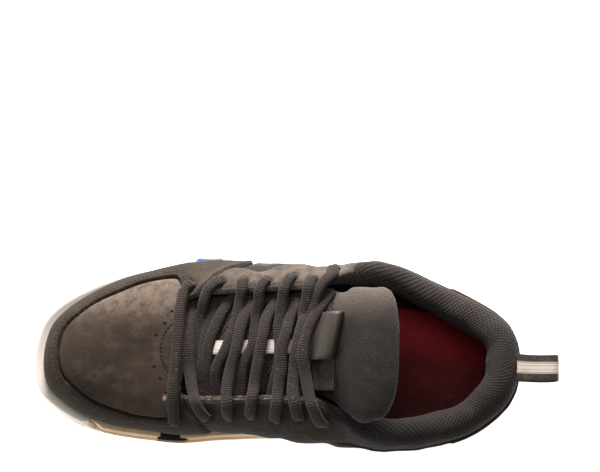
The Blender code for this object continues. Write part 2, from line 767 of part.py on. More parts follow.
def strand_path(row):
    first, first_over, first_share, mid_share, last, last_over, last_share = row
    left = strand_end("lateral", first, first_over, first_share)
    right = strand_end("medial", last, last_over, last_share)
    a = left[-1]
    b = right[-1]
    lift_a = max(a.z - strand_floor(first_share, a.y) - lace_lift(), 0.0)
    lift_b = max(b.z - strand_floor(last_share, b.y) - lace_lift(), 0.0)
    points = []
    for k in range(1, STRAND_STEPS):
        q = k / STRAND_STEPS
        across = a.y + (b.y - a.y) * q
        bow = mid_share - 0.5 * (first_share + last_share)
        share = first_share + (last_share - first_share) * q + bow * 4.0 * q * (1.0 - q)
        low = strand_floor(share, across) + lace_lift()
        low += lift_a * (1.0 - ease(q, 0.0, 0.40)) + lift_b * ease(q, 0.60, 1.0)
        points.append(Vector((along(share), across, low)))
    return left + points + right[::-1]


def add_strand(work, path):
    """Flat oval lace along a path; its wide side lies level."""
    rings = []
    for i, point in enumerate(path):
        way = (path[min(i + 1, len(path) - 1)] - path[max(i - 1, 0)]).normalized()
        share = min(max(point.x / SOLE_LENGTH + HEEL_CENTRE, 0.40), 0.655)
        climb = tongue_top(share - PROBE, 0.0) - tongue_top(share + PROBE, 0.0)
        climb /= 2.0 * PROBE * SOLE_LENGTH
        wide = way.cross(Vector((climb, 0.0, 1.0))).normalized()
        up = wide.cross(way).normalized()
        ring = []
        for k in range(LACE_SIDES):
            angle = 2.0 * pi * k / LACE_SIDES
            arm = wide * (0.5 * LACE_WIDTH * cos(angle)) + up * (0.5 * LACE_THICKNESS * sin(angle))
            ring.append(point + arm)
        rings.append(ring)
    rows = add_rings(work, rings)
    work.faces.new(rows[0])
    work.faces.new(rows[-1])


def make_laces(look):
    """Strands joined where they cross; each group that touches is one solid."""
    for group, members in enumerate(STRAND_GROUPS):
        made = None
        for n in members:
            work = bmesh.new()
            add_strand(work, strand_path(STRANDS[n - 1]))
            bmesh.ops.triangulate(work, faces=work.faces)
            if made is None:
                made = finish_mesh("laces_%d" % (group + 1), work, look)
                continue
            name = "strand_guide_%02d" % n
            join(made, guide_mesh(name, work), name)


# Lace keeper: half tube on the tongue, across the shoe
KEEPER_SHARE = 0.395
KEEPER_ACROSS = -0.062     # middle, as a share of the ball width
KEEPER_SLANT = 0.30        # run along the shoe for each metre across


def make_keeper(look):
    work = bmesh.new()
    rings = []
    arch = [pi * k / 10 for k in range(11)]
    for q in (-0.5, -0.25, 0.0, 0.25, 0.5):
        across = KEEPER_ACROSS * BALL_WIDTH + q * KEEPER_LENGTH
        middle = along(KEEPER_SHARE) + KEEPER_SLANT * q * KEEPER_LENGTH
        ring = []
        for grow, order in ((0.0, arch), (KEEPER_WALL, arch[::-1])):
            for angle in order:
                x = middle - (0.5 * KEEPER_WIDTH - grow) * cos(angle)
                share = x / SOLE_LENGTH + HEEL_CENTRE
                floor = tongue_top(share, across) + FIT
                ring.append(Vector((x, across, floor + (KEEPER_HEIGHT - grow) * sin(angle) ** 0.8)))
        rings.append(ring)
    rows = add_rings(work, rings)
    for row in (rows[0], rows[-1]):
        half = len(row) // 2
        for k in range(half - 1):
            work.faces.new((row[k], row[k + 1], row[-k - 2], row[-k - 1]))
    return finish_mesh("lace_keeper", work, look)


LOOP_ACROSS = 0.044        # middle of the pull loop, as a share of the ball width


def back_wall(height):
    """How far back the upper's outer face stands at a height on the heel."""
    best = min(np.linspace(0.0, 1.0, 101), key=lambda t: abs(wall_point(pi, t)[0].z - height))
    return wall_point(pi, best)[0].x


def make_loop(look):
    """Webbing folded into a loop that stands out behind the collar."""
    shoulder = HEEL_HEIGHT
    low = shoulder - 0.5 * LOOP_GAP - LOOP_WEBBING
    tip = back_wall(shoulder) - LOOP_REACH
    root = back_wall(low) - 2.0 * FIT
    outer = []
    inner = []
    turn_half = 0.5 * LOOP_GAP + LOOP_WEBBING
    middle = low + turn_half
    bend = tip + 0.6 * turn_half
    for k in range(9):
        angle = pi * k / 8
        arm = Vector((-0.6 * sin(angle), 0.0, cos(angle)))
        outer.append(Vector((bend, 0.0, middle)) + arm * turn_half)
        inner.append(Vector((bend, 0.0, middle)) + arm * (turn_half - LOOP_WEBBING))
    for line, reach in ((outer, turn_half), (inner, turn_half - LOOP_WEBBING)):
        line.insert(0, Vector((root, 0.0, middle + reach)))
        line.append(Vector((root, 0.0, middle - reach)))
    ring = outer + inner[::-1]
    work = bmesh.new()
    rings = []
    for side in (-0.5, 0.5):
        across = LOOP_ACROSS * BALL_WIDTH + side * LOOP_WIDTH
        rings.append([point + Vector((0.0, across, 0.0)) for point in ring])
    rows = add_rings(work, rings)
    for row in rows:
        half = len(row) // 2
        for k in range(half - 1):
            work.faces.new((row[k], row[k + 1], row[-k - 2], row[-k - 1]))
    return finish_mesh("pull_loop", work, look)


clear_scene()
rubber = material("cream_rubber", (0.62, 0.55, 0.46), 0.62)
foam = material("gum_foam", (0.50, 0.38, 0.22), 0.58)
black_plastic = material("black_insert", (0.012, 0.012, 0.013), 0.38)
blue_plastic = material("blue_insert", (0.10, 0.32, 0.62), 0.34)
nubuck = material("brown_nubuck", (0.060, 0.048, 0.041), 0.88)
make_outsole(rubber)
make_midsole(foam)
make_insert("lateral", "lateral_insert", blue_plastic)
make_insert("medial", "medial_insert", black_plastic)
make_upper(nubuck)
make_tongue(material("tongue_cloth", (0.075, 0.062, 0.056), 0.85))
make_insole(material("insole_cloth", (0.13, 0.012, 0.014), 0.90))
make_laces(material("lace_cloth", (0.045, 0.036, 0.033), 0.92))
make_keeper(material("keeper_rubber", (0.085, 0.070, 0.060), 0.55))
make_loop(material("webbing", (0.38, 0.34, 0.31), 0.85))
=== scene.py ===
import bpy
import numpy as np
from math import cos, pi, radians, sin
from mathutils import Matrix, Vector


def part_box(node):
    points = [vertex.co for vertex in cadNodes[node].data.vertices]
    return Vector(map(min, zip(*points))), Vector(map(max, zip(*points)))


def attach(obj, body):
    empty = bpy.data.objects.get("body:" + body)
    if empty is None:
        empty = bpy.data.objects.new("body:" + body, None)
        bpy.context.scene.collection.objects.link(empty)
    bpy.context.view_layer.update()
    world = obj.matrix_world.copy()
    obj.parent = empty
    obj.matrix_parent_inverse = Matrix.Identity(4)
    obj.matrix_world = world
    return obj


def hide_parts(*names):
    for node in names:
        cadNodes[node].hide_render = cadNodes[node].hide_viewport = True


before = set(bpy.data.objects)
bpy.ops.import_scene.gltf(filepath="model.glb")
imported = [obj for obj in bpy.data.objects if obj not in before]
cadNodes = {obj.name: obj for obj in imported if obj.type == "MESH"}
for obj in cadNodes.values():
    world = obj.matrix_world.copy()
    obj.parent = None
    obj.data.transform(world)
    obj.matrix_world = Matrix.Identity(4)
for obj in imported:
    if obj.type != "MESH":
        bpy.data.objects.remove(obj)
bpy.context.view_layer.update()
print("stage: frame loaded")


# small maths used by every piece
def ease(value, low, high):
    part = np.clip((np.asarray(value, float) - low) / (high - low), 0.0, 1.0)
    return part * part * (3.0 - 2.0 * part)


def bell(value, middle, width):
    return np.exp(-(((value - middle) / width) ** 2))


def unit(vectors):
    return vectors / np.maximum(np.linalg.norm(vectors, axis=-1, keepdims=True), 1e-9)


def waves(x, y, seed, size, octaves=3):
    # smooth seeded undulation, about -1 to 1
    rng = np.random.default_rng(seed)
    total = 0.0
    for octave in range(octaves):
        for _ in range(4):
            angle, phase = rng.uniform(0, 2 * pi, 2)
            rate = 2 * pi / size * 1.9 ** octave * rng.uniform(0.7, 1.3)
            total = total + np.sin((x * cos(angle) + y * sin(angle)) * rate + phase) * 0.55 ** octave
    return total / 4.0


def makeSpline(knots, values, period=0.0):
    knots = np.asarray(knots, float)
    values = np.asarray(values, float).reshape(len(knots), -1)
    if period:
        knots = np.concatenate([knots[-2:] - period, knots, knots[:2] + period])
        values = np.concatenate([values[-2:], values, values[:2]])
    slopes = np.gradient(values, knots, axis=0)

    def read(place):
        place = np.asarray(place, float)
        if period:
            place = place % period
        i = np.clip(np.searchsorted(knots, place) - 1, 0, len(knots) - 2)
        step = knots[i + 1] - knots[i]
        t = np.clip((place - knots[i]) / step, 0.0, 1.0)[..., None]
        step = step[..., None]
        near = (1 + 2 * t) * (1 - t) ** 2 * values[i] + t * (1 - t) ** 2 * step * slopes[i]
        return near + t * t * (3 - 2 * t) * values[i + 1] + t * t * (t - 1) * step * slopes[i + 1]

    return read


def runOf(points):
    # length along a line of points, at each of them
    return np.concatenate([[0.0], np.cumsum(np.linalg.norm(np.diff(points, axis=0), axis=1))])


def resample(points, count):
    # even steps along a smooth line through the points
    points = np.asarray(points, float)
    knots = runOf(points)
    fine = makeSpline(knots, points)(np.linspace(0.0, knots[-1], 400))
    run = runOf(fine)
    places = np.linspace(0.0, run[-1], count)
    return np.stack([np.interp(places, run, fine[:, k]) for k in range(3)], -1), run[-1]


def oval(count, roundA, roundB, start=0.0):
    # ring on a rounded box, each side from -1 to 1
    angle = 2 * pi * (np.arange(count) + start) / count
    a, b = np.cos(angle), np.sin(angle)
    return np.sign(a) * np.abs(a) ** roundA, np.sign(b) * np.abs(b) ** roundB


# form of the shoe: the same sizes as the frame, in metres and shares
form = {
    "length": 0.296, "ball": 0.114, "heelCentre": 0.17, "fit": 0.0003, "toeSpring": 0.011,
    "heelBevel": 0.004, "archRise": 0.004, "tread": 0.0062, "heelStack": 0.02, "cup": 0.007,
    "rimWall": 0.0058, "toeRim": 0.0022, "instep": 0.097, "heel": 0.075, "wall": 0.0026,
    "pad": 0.019, "bumperLean": 0.0022,
}
outlineRows = (
    # share, lateral, medial
    (1.000, 0.031, 0.031), (0.985, -0.17, 0.205), (0.95, -0.283, 0.294), (0.9, -0.37, 0.366),
    (0.84, -0.441, 0.408), (0.76, -0.5, 0.434), (0.69, -0.538, 0.447), (0.62, -0.55, 0.428),
    (0.54, -0.52, 0.415), (0.45, -0.47, 0.407), (0.35, -0.424, 0.402), (0.25, -0.385, 0.398),
    (0.15, -0.345, 0.38), (0.07, -0.272, 0.318), (0.02, -0.14, 0.188), (0.000, 0.022, 0.022),
)
bedRows = ((0.0, 0.98), (0.2, 1.00), (0.45, 0.86), (0.65, 0.68), (0.85, 0.6), (1.0, 0.56))
topRows = (
    # share, lateral along, across, up, medial along, across, up
    (1.000, 0.68, -0.026, 0.655, 0.68, -0.026, 0.655),
    (0.96, 0.681, -0.09, 0.655, 0.682, 0.045, 0.655),
    (0.88, 0.682, -0.17, 0.652, 0.685, 0.12, 0.65),
    (0.78, 0.681, -0.24, 0.645, 0.688, 0.19, 0.64),
    (0.7, 0.672, -0.29, 0.645, 0.68, 0.232, 0.638),
    (0.62, 0.63, -0.31, 0.71, 0.63, 0.24, 0.7),
    (0.54, 0.555, -0.318, 0.815, 0.555, 0.239, 0.805),
    (0.47, 0.48, -0.321, 0.925, 0.48, 0.24, 0.92),
    (0.41, 0.42, -0.338, 1.000, 0.42, 0.262, 1.000),
    (0.365, 0.38, -0.402, 1.01, 0.375, 0.34, 1.000),
    (0.315, 0.33, -0.468, 0.93, 0.33, 0.428, 0.93),
    (0.255, 0.265, -0.474, 0.77, 0.265, 0.456, 0.8),
    (0.18, 0.19, -0.398, 0.755, 0.19, 0.436, 0.79),
    (0.1, 0.112, -0.305, 0.83, 0.112, 0.375, 0.85),
    (0.04, 0.049, -0.194, 0.95, 0.049, 0.248, 0.96),
    (0.000, 0.022, 0.018, 1.000, 0.022, 0.018, 1.000),
)
wallRows = (
    # share, rise, lateral flare, medial flare, reach, drop, pad, lateral seam, medial seam
    (1.000, 0.74, 0.01, 0.01, 0.62, 0.2, 0.14, 0.335, 0.335),
    (0.9, 0.72, 0.018, 0.014, 0.6, 0.2, 0.14, 0.37, 0.41),
    (0.78, 0.66, 0.03, 0.02, 0.62, 0.16, 0.14, 0.47, 0.47),
    (0.7, 0.6, 0.036, 0.03, 0.64, 0.14, 0.14, 0.66, 0.6),
    (0.62, 0.56, 0.048, 0.062, 0.66, 0.14, 0.14, 0.66, 0.56),
    (0.54, 0.54, 0.08, 0.11, 0.7, 0.14, 0.14, 0.58, 0.52),
    (0.47, 0.52, 0.116, 0.17, 0.8, 0.14, 0.15, 0.56, 0.5),
    (0.41, 0.5, 0.138, 0.2, 0.8, 0.16, 0.2, 0.56, 0.52),
    (0.365, 0.46, 0.14, 0.195, 0.45, 0.2, 0.44, 0.64, 0.6),
    (0.315, 0.42, 0.12, 0.15, 0.12, 0.26, 0.74, 0.72, 0.7),
    (0.255, 0.4, 0.09, 0.105, 0.00, 0.32, 0.88, 0.8, 0.78),
    (0.18, 0.4, 0.064, 0.08, 0.00, 0.34, 0.92, 0.84, 0.82),
    (0.1, 0.4, 0.034, 0.044, 0.00, 0.34, 0.98, 0.84, 0.84),
    (0.000, 0.4, 0.016, 0.016, 0.00, 0.34, 1.00, 0.82, 0.82),
)
tongueRows = (
    # share, tuck, own width, centre shift, up, crown, pad
    (0.712, -0.5, 0.0, 0.000, 0.545, 0.3, 0.00), (0.668, -0.8, 0.0, 0.000, 0.585, 0.45, 0.00),
    (0.63, -0.2, 0.0, 0.000, 0.68, 0.8, 0.00), (0.555, 0.3, 0.0, 0.000, 0.8, 1.00, 0.05),
    (0.48, 0.0, 0.0, 0.000, 0.915, 1.00, 0.1), (0.425, -0.9, 0.0, -0.006, 1.01, 0.9, 0.2),
    (0.4, -1.2, 0.0, -0.006, 1.065, 0.8, 0.35), (0.37, -1.1, 0.5, 0.004, 1.125, 0.7, 0.6),
    (0.33, 0.0, 1.0, 0.013, 1.195, 0.6, 0.9), (0.308, 0.0, 1.0, 0.013, 1.228, 0.56, 1.00),
    (0.293, -0.2, 0.0, 0.047, 1.24, 0.52, 0.95), (0.28, -1.1, 0.0, 0.047, 1.24, 0.45, 0.8),
    (0.271, -2.7, 0.0, 0.047, 1.228, 0.35, 0.55), (0.267, -4.5, 0.0, 0.047, 1.21, 0.2, 0.3),
)


def xOf(share):
    return (share - form["heelCentre"]) * form["length"]


def shareOfX(x):
    return x / form["length"] + form["heelCentre"]


def turnOf(share, side):
    turn = np.arccos(np.clip(2.0 * np.asarray(share, float) - 1.0, -1.0, 1.0))
    return turn if side == "lateral" else 2.0 * pi - turn


def shareAt(turn):
    return 0.5 + 0.5 * np.cos(turn)


def ringTable(rows, lateral, medial):
    knots = [float(turnOf(row[0], "lateral")) for row in rows]
    values = [[row[k] for k in lateral] for row in rows]
    for row in reversed(rows[1:-1]):
        knots.append(float(turnOf(row[0], "medial")))
        values.append([row[k] for k in medial])
    return makeSpline(knots, values, 2.0 * pi)


outlineAcross = ringTable(outlineRows, (1,), (2,))
topLine = ringTable(topRows, (1, 2, 3), (4, 5, 6))
wallForm = ringTable(wallRows, (1, 2, 4, 5, 6, 7), (1, 3, 4, 5, 6, 8))
bedRise = makeSpline(*zip(*bedRows))
tongueTable = np.array(tongueRows[::-1])
tongueRow = makeSpline(tongueTable[:, 0], tongueTable[:, 1:])


def underside(share):
    toe = np.maximum(share - 0.78, 0.0) / 0.22
    heel = np.maximum(0.05 - share, 0.0) / 0.05
    waist = np.clip((share - 0.34) / 0.22, 0.0, 1.0)
    rise = form["archRise"] * np.sin(pi * waist) ** 2
    return form["toeSpring"] * toe ** 1.8 + form["heelBevel"] * heel ** 2 + rise


def treadTop(share):
    return underside(share) + form["tread"]


def footBed(share):
    return underside(share) + form["heelStack"] * bedRise(share)[..., 0]


def rimTop(share):
    return footBed(share) + form["cup"]


def rimWidth(share):
    return form["rimWall"] + form["toeRim"] * ease(share, 0.8, 0.99)


def outline(turn):
    turn = np.asarray(turn, float)
    across = outlineAcross(turn)[..., 0] * form["ball"]
    return np.stack([xOf(shareAt(turn)), across, np.zeros_like(across)], -1)


def outward(turn):
    step = outline(turn + 0.01) - outline(turn - 0.01)
    return unit(np.stack([-step[..., 1], step[..., 0], np.zeros_like(step[..., 0])], -1))


def inside(turn, inset, level, lift=0.0):
    inset = np.asarray(inset, float)[..., None]
    point = outline(turn) - outward(turn) * inset
    point[..., 2] = level(shareOfX(point[..., 0])) + lift
    return point


def columnsAt(turn):
    # sizes of the upper's profile at each place round the outline
    share = shareAt(turn)
    way = outward(turn)
    inset = rimWidth(share) + form["fit"]
    lip = inside(turn, inset, rimTop, 0.5 * form["fit"])
    base = inside(turn, inset, footBed, form["fit"])
    ahead, across, up = np.moveaxis(topLine(turn), -1, 0)
    rise, flare, reach, drop, pad, seam = np.moveaxis(wallForm(turn), -1, 0)
    tall = form["heel"] + (form["instep"] - form["heel"]) * np.clip(ahead / 0.42, 0.0, 1.0)
    top = np.stack([xOf(ahead), across * form["ball"], up * tall], -1)
    height = (top[..., 2] - lip[..., 2])[..., None]
    rise, flare, reach, drop = (a[..., None] for a in (rise, flare, reach, drop))
    zUp = np.array([0.0, 0.0, 1.0])
    level = (lip - top) * np.array([1.0, 1.0, 0.0])
    p1 = lip + way * flare * form["ball"] + zUp * rise * height
    p2 = top + level * np.maximum(reach, 0.0) - zUp * drop * height + way * 0.45 * flare * form["ball"]
    tangent = unit(top - p2)
    square = np.stack([-way[..., 1], way[..., 0], np.zeros_like(share)], -1)
    normal = unit(np.cross(tangent, square))
    flip = np.sum(normal * way, -1) + 0.6 * normal[..., 2] < 0
    normal[flip] *= -1.0
    return {"share": share, "way": way, "base": base, "lip": lip, "p1": p1, "p2": p2, "top": top,
            "tangent": tangent, "normal": normal, "pad": pad * form["pad"], "seam": seam}


def bezier(a, b, c, d, t):
    t = t[..., None]
    s = 1.0 - t
    return a * s ** 3 + b * 3 * t * s ** 2 + c * 3 * t ** 2 * s + d * t ** 3


def wallPoint(turn, t):
    # point and normal of the upper's plain outer form
    def at(a, b):
        col = columnsAt(np.array([a]))
        return bezier(col["lip"], col["p1"], col["p2"], col["top"], np.array([b]))[0], col["way"][0]

    point, way = at(turn, t)
    rise = at(turn, min(t + 0.01, 1.0))[0] - at(turn, max(t - 0.01, 0.0))[0]
    around = at(turn + 0.01, t)[0] - at(turn - 0.01, t)[0]
    normal = unit(np.cross(rise, around))
    if normal @ way + 0.6 * normal[2] < 0:
        normal = -normal
    return point, normal


def throatTurn(side, share):
    low, high = 0.3, 0.84
    for _ in range(40):
        middle = 0.5 * (low + high)
        if topLine(turnOf(middle, side))[0] < share:
            low = middle
        else:
            high = middle
    return float(turnOf(0.5 * (low + high), side))


edgePlaces = np.linspace(0.4, 0.655, 40)
edgeTurns = np.array([[throatTurn(side, place) for side in ("lateral", "medial")] for place in edgePlaces])
throatEdges = makeSpline(edgePlaces, columnsAt(edgeTurns.ravel())["top"][:, 1].reshape(-1, 2))


def tongueSection(share):
    tuck, own, shift, up, crown, pad = np.moveaxis(tongueRow(share), -1, 0)
    lateral, medial = np.moveaxis(throatEdges(np.clip(share, 0.4, 0.655)), -1, 0)
    throatHalf = 0.5 * (medial - lateral) + tuck * 0.005
    half = throatHalf + (0.035 - throatHalf) * own
    middle = 0.5 * (medial + lateral) * (1.0 - own) + shift * form["ball"]
    thick = 0.005 + 0.008 * np.maximum(pad, 0.0)
    return middle, half, up * form["instep"], crown * 0.0085, thick


def tongueTop(share, across):
    middle, half, up, crown, _ = tongueSection(share)
    return up - crown * np.minimum(np.abs(across - middle) / half, 1.0) ** 2


# shader helpers
def srgb(*colour):
    linear = [((c / 255.0 + 0.055) / 1.055) ** 2.4 if c > 10 else c / 255.0 / 12.92 for c in colour]
    return (*linear, 1.0)


def add(tree, kind, values=None, **settings):
    made = tree.nodes.new(kind)
    for key, value in settings.items():
        setattr(made, key, value)
    for key, value in (values or {}).items():
        if isinstance(value, bpy.types.NodeSocket):
            tree.links.new(value, made.inputs[key])
        else:
            made.inputs[key].default_value = value
    return made


def join(kind, values, **settings):
    # a node in the tree that its first linked value belongs to
    tree = next(value.id_data for value in values.values() if isinstance(value, bpy.types.NodeSocket))
    return add(tree, kind, values, **settings).outputs


def calc(operation, *terms, clamp=False):
    return join("ShaderNodeMath", dict(enumerate(terms)), operation=operation, use_clamp=clamp)[0]


def fold(operation, terms):
    total = terms[0]
    for term in terms[1:]:
        total = calc(operation, total, term)
    return total


def mul(*terms):
    return fold("MULTIPLY", terms)


def most(*terms):
    return fold("MAXIMUM", terms)


def mulAdd(value, factor, rest):
    return calc("MULTIPLY_ADD", value, factor, rest)


def wave(value, pitch):
    return calc("SINE", mul(calc("DIVIDE", value, pitch), 2 * pi))


def ramp(value, low, high, start=0.0, end=1.0):
    values = {"Value": value, "From Min": low, "From Max": high, "To Min": start, "To Max": end}
    return join("ShaderNodeMapRange", values, interpolation_type="SMOOTHSTEP")["Result"]


def nearTo(value, middle, outer, inner):
    # 1 within inner of the middle value, 0 beyond outer
    return ramp(calc("ABSOLUTE", calc("SUBTRACT", value, middle)), outer, inner)


def mixColour(factor, first, second):
    return join("ShaderNodeMix", {"Factor": factor, 6: first, 7: second}, data_type="RGBA")[2]


def tint(colour, amount, *paint):
    return mixColour(amount, colour, srgb(*paint))


def noise(vector, scale, detail=3.0, rough=0.55):
    values = {"Vector": vector, "Scale": scale, "Detail": detail, "Roughness": rough}
    return join("ShaderNodeTexNoise", values)["Fac"]


def position(tree):
    return add(tree, "ShaderNodeTexCoord").outputs["Object"]


def split(vector):
    return join("ShaderNodeSeparateXYZ", {0: vector})


def lengths(tree, layer):
    return split(add(tree, "ShaderNodeUVMap", uv_map=layer).outputs[0])[:2]


def attribute(tree, name):
    return add(tree, "ShaderNodeAttribute", attribute_name=name).outputs["Fac"]


def farFrom(where, spot):
    return join("ShaderNodeVectorMath", {0: where, 1: (*spot, 0.0)}, operation="DISTANCE")["Value"]


def newGroup(name, **inputs):
    # an input without a number is a vector
    tree = bpy.data.node_groups.new(name, "ShaderNodeTree")
    for label, value in inputs.items():
        kind = "NodeSocketVector" if value is None else "NodeSocketFloat"
        socket = tree.interface.new_socket(label, in_out="INPUT", socket_type=kind)
        if value is not None:
            socket.default_value = value
    return tree, tree.nodes.new("NodeGroupInput").outputs


def closeGroup(tree, **values):
    for label in values:
        tree.interface.new_socket(label, in_out="OUTPUT", socket_type="NodeSocketFloat")
    end = tree.nodes.new("NodeGroupOutput").inputs
    for label, value in values.items():
        tree.links.new(value, end[label])
    return tree


def use(group, **values):
    return join("ShaderNodeGroup", values, node_tree=group)


# nap: short fibres that lie in soft patches
tree, given = newGroup("napGrain", Position=None, Patch=60.0, Fibre=2600.0)
patch = noise(given["Position"], given["Patch"], 4.0, 0.6)
fibre = noise(given["Position"], given["Fibre"], 2.0, 0.7)
mid = noise(given["Position"], mul(given["Patch"], 6.0), 3.0, 0.6)
shade = mulAdd(fibre, 0.3, mulAdd(mid, 0.45, mul(patch, 0.75)))
napGroup = closeGroup(tree, Shade=shade, Height=mulAdd(mid, 1.6, fibre))

# diamond holes of spacer mesh, from two lengths in metres
tree, given = newGroup("spacerMesh", Along=0.0, Up=0.0, Pitch=0.003)
cell = calc("ADD", *(wave(calc(way, given["Along"], given["Up"]), given["Pitch"])
                     for way in ("ADD", "SUBTRACT")))
spacerGroup = closeGroup(tree, Hole=ramp(cell, 0.55, 1.25), Height=ramp(cell, 1.3, -0.4))

# ribs or twill: parallel cords, with a cross yarn
tree, given = newGroup("cordRib", Along=0.0, Across=0.0, Pitch=0.0012, Slant=0.0, Yarn=0.0008)
rib = wave(mulAdd(given["Across"], given["Slant"], given["Along"]), given["Pitch"])
both = mulAdd(wave(given["Across"], given["Yarn"]), 0.35, rib)
ribGroup = closeGroup(tree, Shade=ramp(both, -1.1, 1.1), Height=mulAdd(both, 0.37, 0.5))

# one row of machine stitches at a set distance from an edge
tree, given = newGroup("stitchRow", Along=0.0, Across=0.0, Offset=0.002, Pitch=0.0028, Width=0.0004)
away = calc("ABSOLUTE", calc("SUBTRACT", given["Across"], given["Offset"]))
away = calc("DIVIDE", away, given["Width"])
part = calc("FRACT", calc("DIVIDE", given["Along"], given["Pitch"]))
dash = nearTo(part, 0.5, 0.4, 0.3)
stitchGroup = closeGroup(tree, Mask=mul(ramp(away, 1.4, 0.6), dash), Ditch=ramp(away, 3.0, 0.8))

# pale dust on faces that look up, in patches
tree, given = newGroup("dustSettle", Position=None, Scale=90.0, Amount=0.3)
upward = ramp(split(add(tree, "ShaderNodeNewGeometry").outputs["Normal"])[2], 0.1, 1.0)
cloud = ramp(noise(given["Position"], given["Scale"], 6.0, 0.65), 0.45, 0.9)
speck = ramp(noise(given["Position"], mul(given["Scale"], 14.0), 2.0, 0.5), 0.66, 0.74)
found = calc("ADD", cloud, speck, clamp=True)
dustGroup = closeGroup(tree, Mask=mul(found, upward, given["Amount"]))

# scuffs: short streaks along the ground line
tree, given = newGroup("scuffStreaks", Position=None, Amount=0.4)
stretched = join("ShaderNodeMapping", {"Vector": given["Position"], "Scale": (90.0, 90.0, 420.0)})[0]
streak = ramp(noise(stretched, 1.0, 5.0, 0.7), 0.56, 0.7)
scuffGroup = closeGroup(tree, Mask=mul(streak, given["Amount"]))


def cordsOf(along, across, pitch, slant=0.0, yarn=0.0009):
    return use(ribGroup, Along=along, Across=across, Pitch=pitch, Slant=slant, Yarn=yarn)


def dusty(colour, where, scale, amount, *paint):
    dust = use(dustGroup, Position=where, Scale=scale, Amount=amount)
    return tint(colour, dust["Mask"], *paint)


def newMaterial(name, **constants):
    made = bpy.data.materials.new(name)
    made.use_nodes = True
    shader = made.node_tree.nodes["Principled BSDF"]
    for key, value in constants.items():
        shader.inputs[key.replace("_", " ")].default_value = value
    return made, made.node_tree


def dress(made, colour, height, depth, strength, rough=None):
    # wires the finished colour, relief and roughness into the material's shader
    tree = made.node_tree
    shader = tree.nodes["Principled BSDF"]
    relief = join("ShaderNodeBump", {"Height": height, "Distance": depth, "Strength": strength})[0]
    tree.links.new(colour, shader.inputs["Base Color"])
    tree.links.new(relief, shader.inputs["Normal"])
    if rough is not None:
        tree.links.new(rough, shader.inputs["Roughness"])
    return made


print("stage: shader groups ready")


# meshes from grids of points
def gridMesh(name, points, looks, layers=(), closed=False, faceLook=None, fields=None):
    # a skin over rings of points: closed joins the last ring to the first, otherwise both ends are capped
    rows, cols = points.shape[:2]
    r, c = np.meshgrid(np.arange(rows if closed else rows - 1), np.arange(cols), indexing="ij")
    corners = [(r, c), (r, c + 1), (r + 1, c + 1), (r + 1, c)]
    quads = np.stack([(a % rows) * cols + b % cols for a, b in corners], -1).reshape(-1, 4)
    faces = [tuple(q) for q in quads.tolist()]
    if not closed:
        faces += [tuple(range(cols))[::-1], tuple((rows - 1) * cols + k for k in range(cols))]
    mesh = bpy.data.meshes.new(name)
    mesh.from_pydata(points.reshape(-1, 3).tolist(), [], faces)
    for layer, u, v in layers:
        data = mesh.uv_layers.new(name=layer).data
        uv = np.zeros((len(data), 2), np.float32)
        flat = np.stack([np.stack([u[a, b], v[a, b]], -1) for a, b in corners], -2).reshape(-1, 2)
        uv[:len(flat)] = flat
        data.foreach_set("uv", uv.ravel())
    for key, values in (fields or {}).items():
        item = mesh.attributes.new(key, "FLOAT", "POINT")
        item.data.foreach_set("value", np.asarray(values, np.float32).ravel())
    for look in looks:
        mesh.materials.append(look)
    if faceLook is not None:
        index = np.zeros(len(mesh.polygons), np.int32)
        index[:len(quads)] = faceLook.ravel()
        mesh.polygons.foreach_set("material_index", index)
    mesh.shade_smooth()
    made = bpy.data.objects.new(name, mesh)
    bpy.context.scene.collection.objects.link(made)
    return made


def flatLayer(along, across):
    return [("flat", *np.meshgrid(along, across, indexing="ij"))]


def mergeMeshes(name, pieces):
    # one object from several, their layers kept
    with bpy.context.temp_override(active_object=pieces[0], selected_editable_objects=pieces):
        bpy.ops.object.join()
    pieces[0].name = name
    return pieces[0]


# upper: one high-resolution skin over the frame's form, with panels, seams and creases
upperSizes = {
    "columns": 640, "wall": 104, "roll": 15, "inner": 28,
    "guard": 0.0011, "panelPuff": 0.0009, "groove": 0.0015, "grooveWidth": 0.0008,
    "creases": (
        # first x, y, second x, y, depth, width: soft folds in plan, metres
        (0.1555, -0.034, 0.16, 0.02, 0.0005, 0.006),
        (0.1665, -0.026, 0.17, 0.026, 0.00035, 0.005),
        (0.18, -0.031, 0.188, -0.004, 0.0003, 0.0045),
        (0.15, 0.03, 0.162, 0.046, 0.0006, 0.004),
        (0.148, -0.052, 0.164, -0.043, 0.00055, 0.004),
        (0.132, 0.041, 0.1395, 0.054, 0.0006, 0.0035),
        (0.115, 0.047, 0.123, 0.056, 0.0006, 0.0035),
        (0.09, 0.043, 0.098, 0.056, 0.0007, 0.0045),
        (0.064, 0.046, 0.076, 0.059, 0.0008, 0.005),
        (0.042, 0.049, 0.055, 0.062, 0.0007, 0.0055),
        (0.07, -0.048, 0.078, -0.058, 0.0006, 0.0045),
        (0.038, -0.05, 0.052, -0.06, 0.0007, 0.0055),
        (0.018, 0.046, 0.026, 0.059, 0.0006, 0.005),
    ),
    # bulges of the eyestay's lower edge over the mesh windows: turn, size, width
    "scallops": ((1.525, 0.15, 0.062), (1.745, 0.12, 0.045), (4.74, 0.1, 0.05), (4.6, 0.08, 0.04)),
    # rows of thread: lengths they follow, distance from that edge, pitch, width
    "stitches": (("seam", -0.0034, 0.0021, 0.00055), ("seam", -0.0054, 0.0021, 0.00055),
                 ("top", 0.0026, 0.0024, 0.00045)),
    "toeHoles": ((0.1595, -0.0241), (0.1634, -0.0168), (0.1681, -0.0096), (0.1687, 0.0089),
                 (0.1649, 0.0159), (0.161, 0.024)),
    "arcCentre": (0.1446, -0.0014), "arcRadius": 0.0206, "arcPitch": 0.0025,
    "lightTip": (0.1616, 0.0269), "tack": (0.152, -0.044),
}
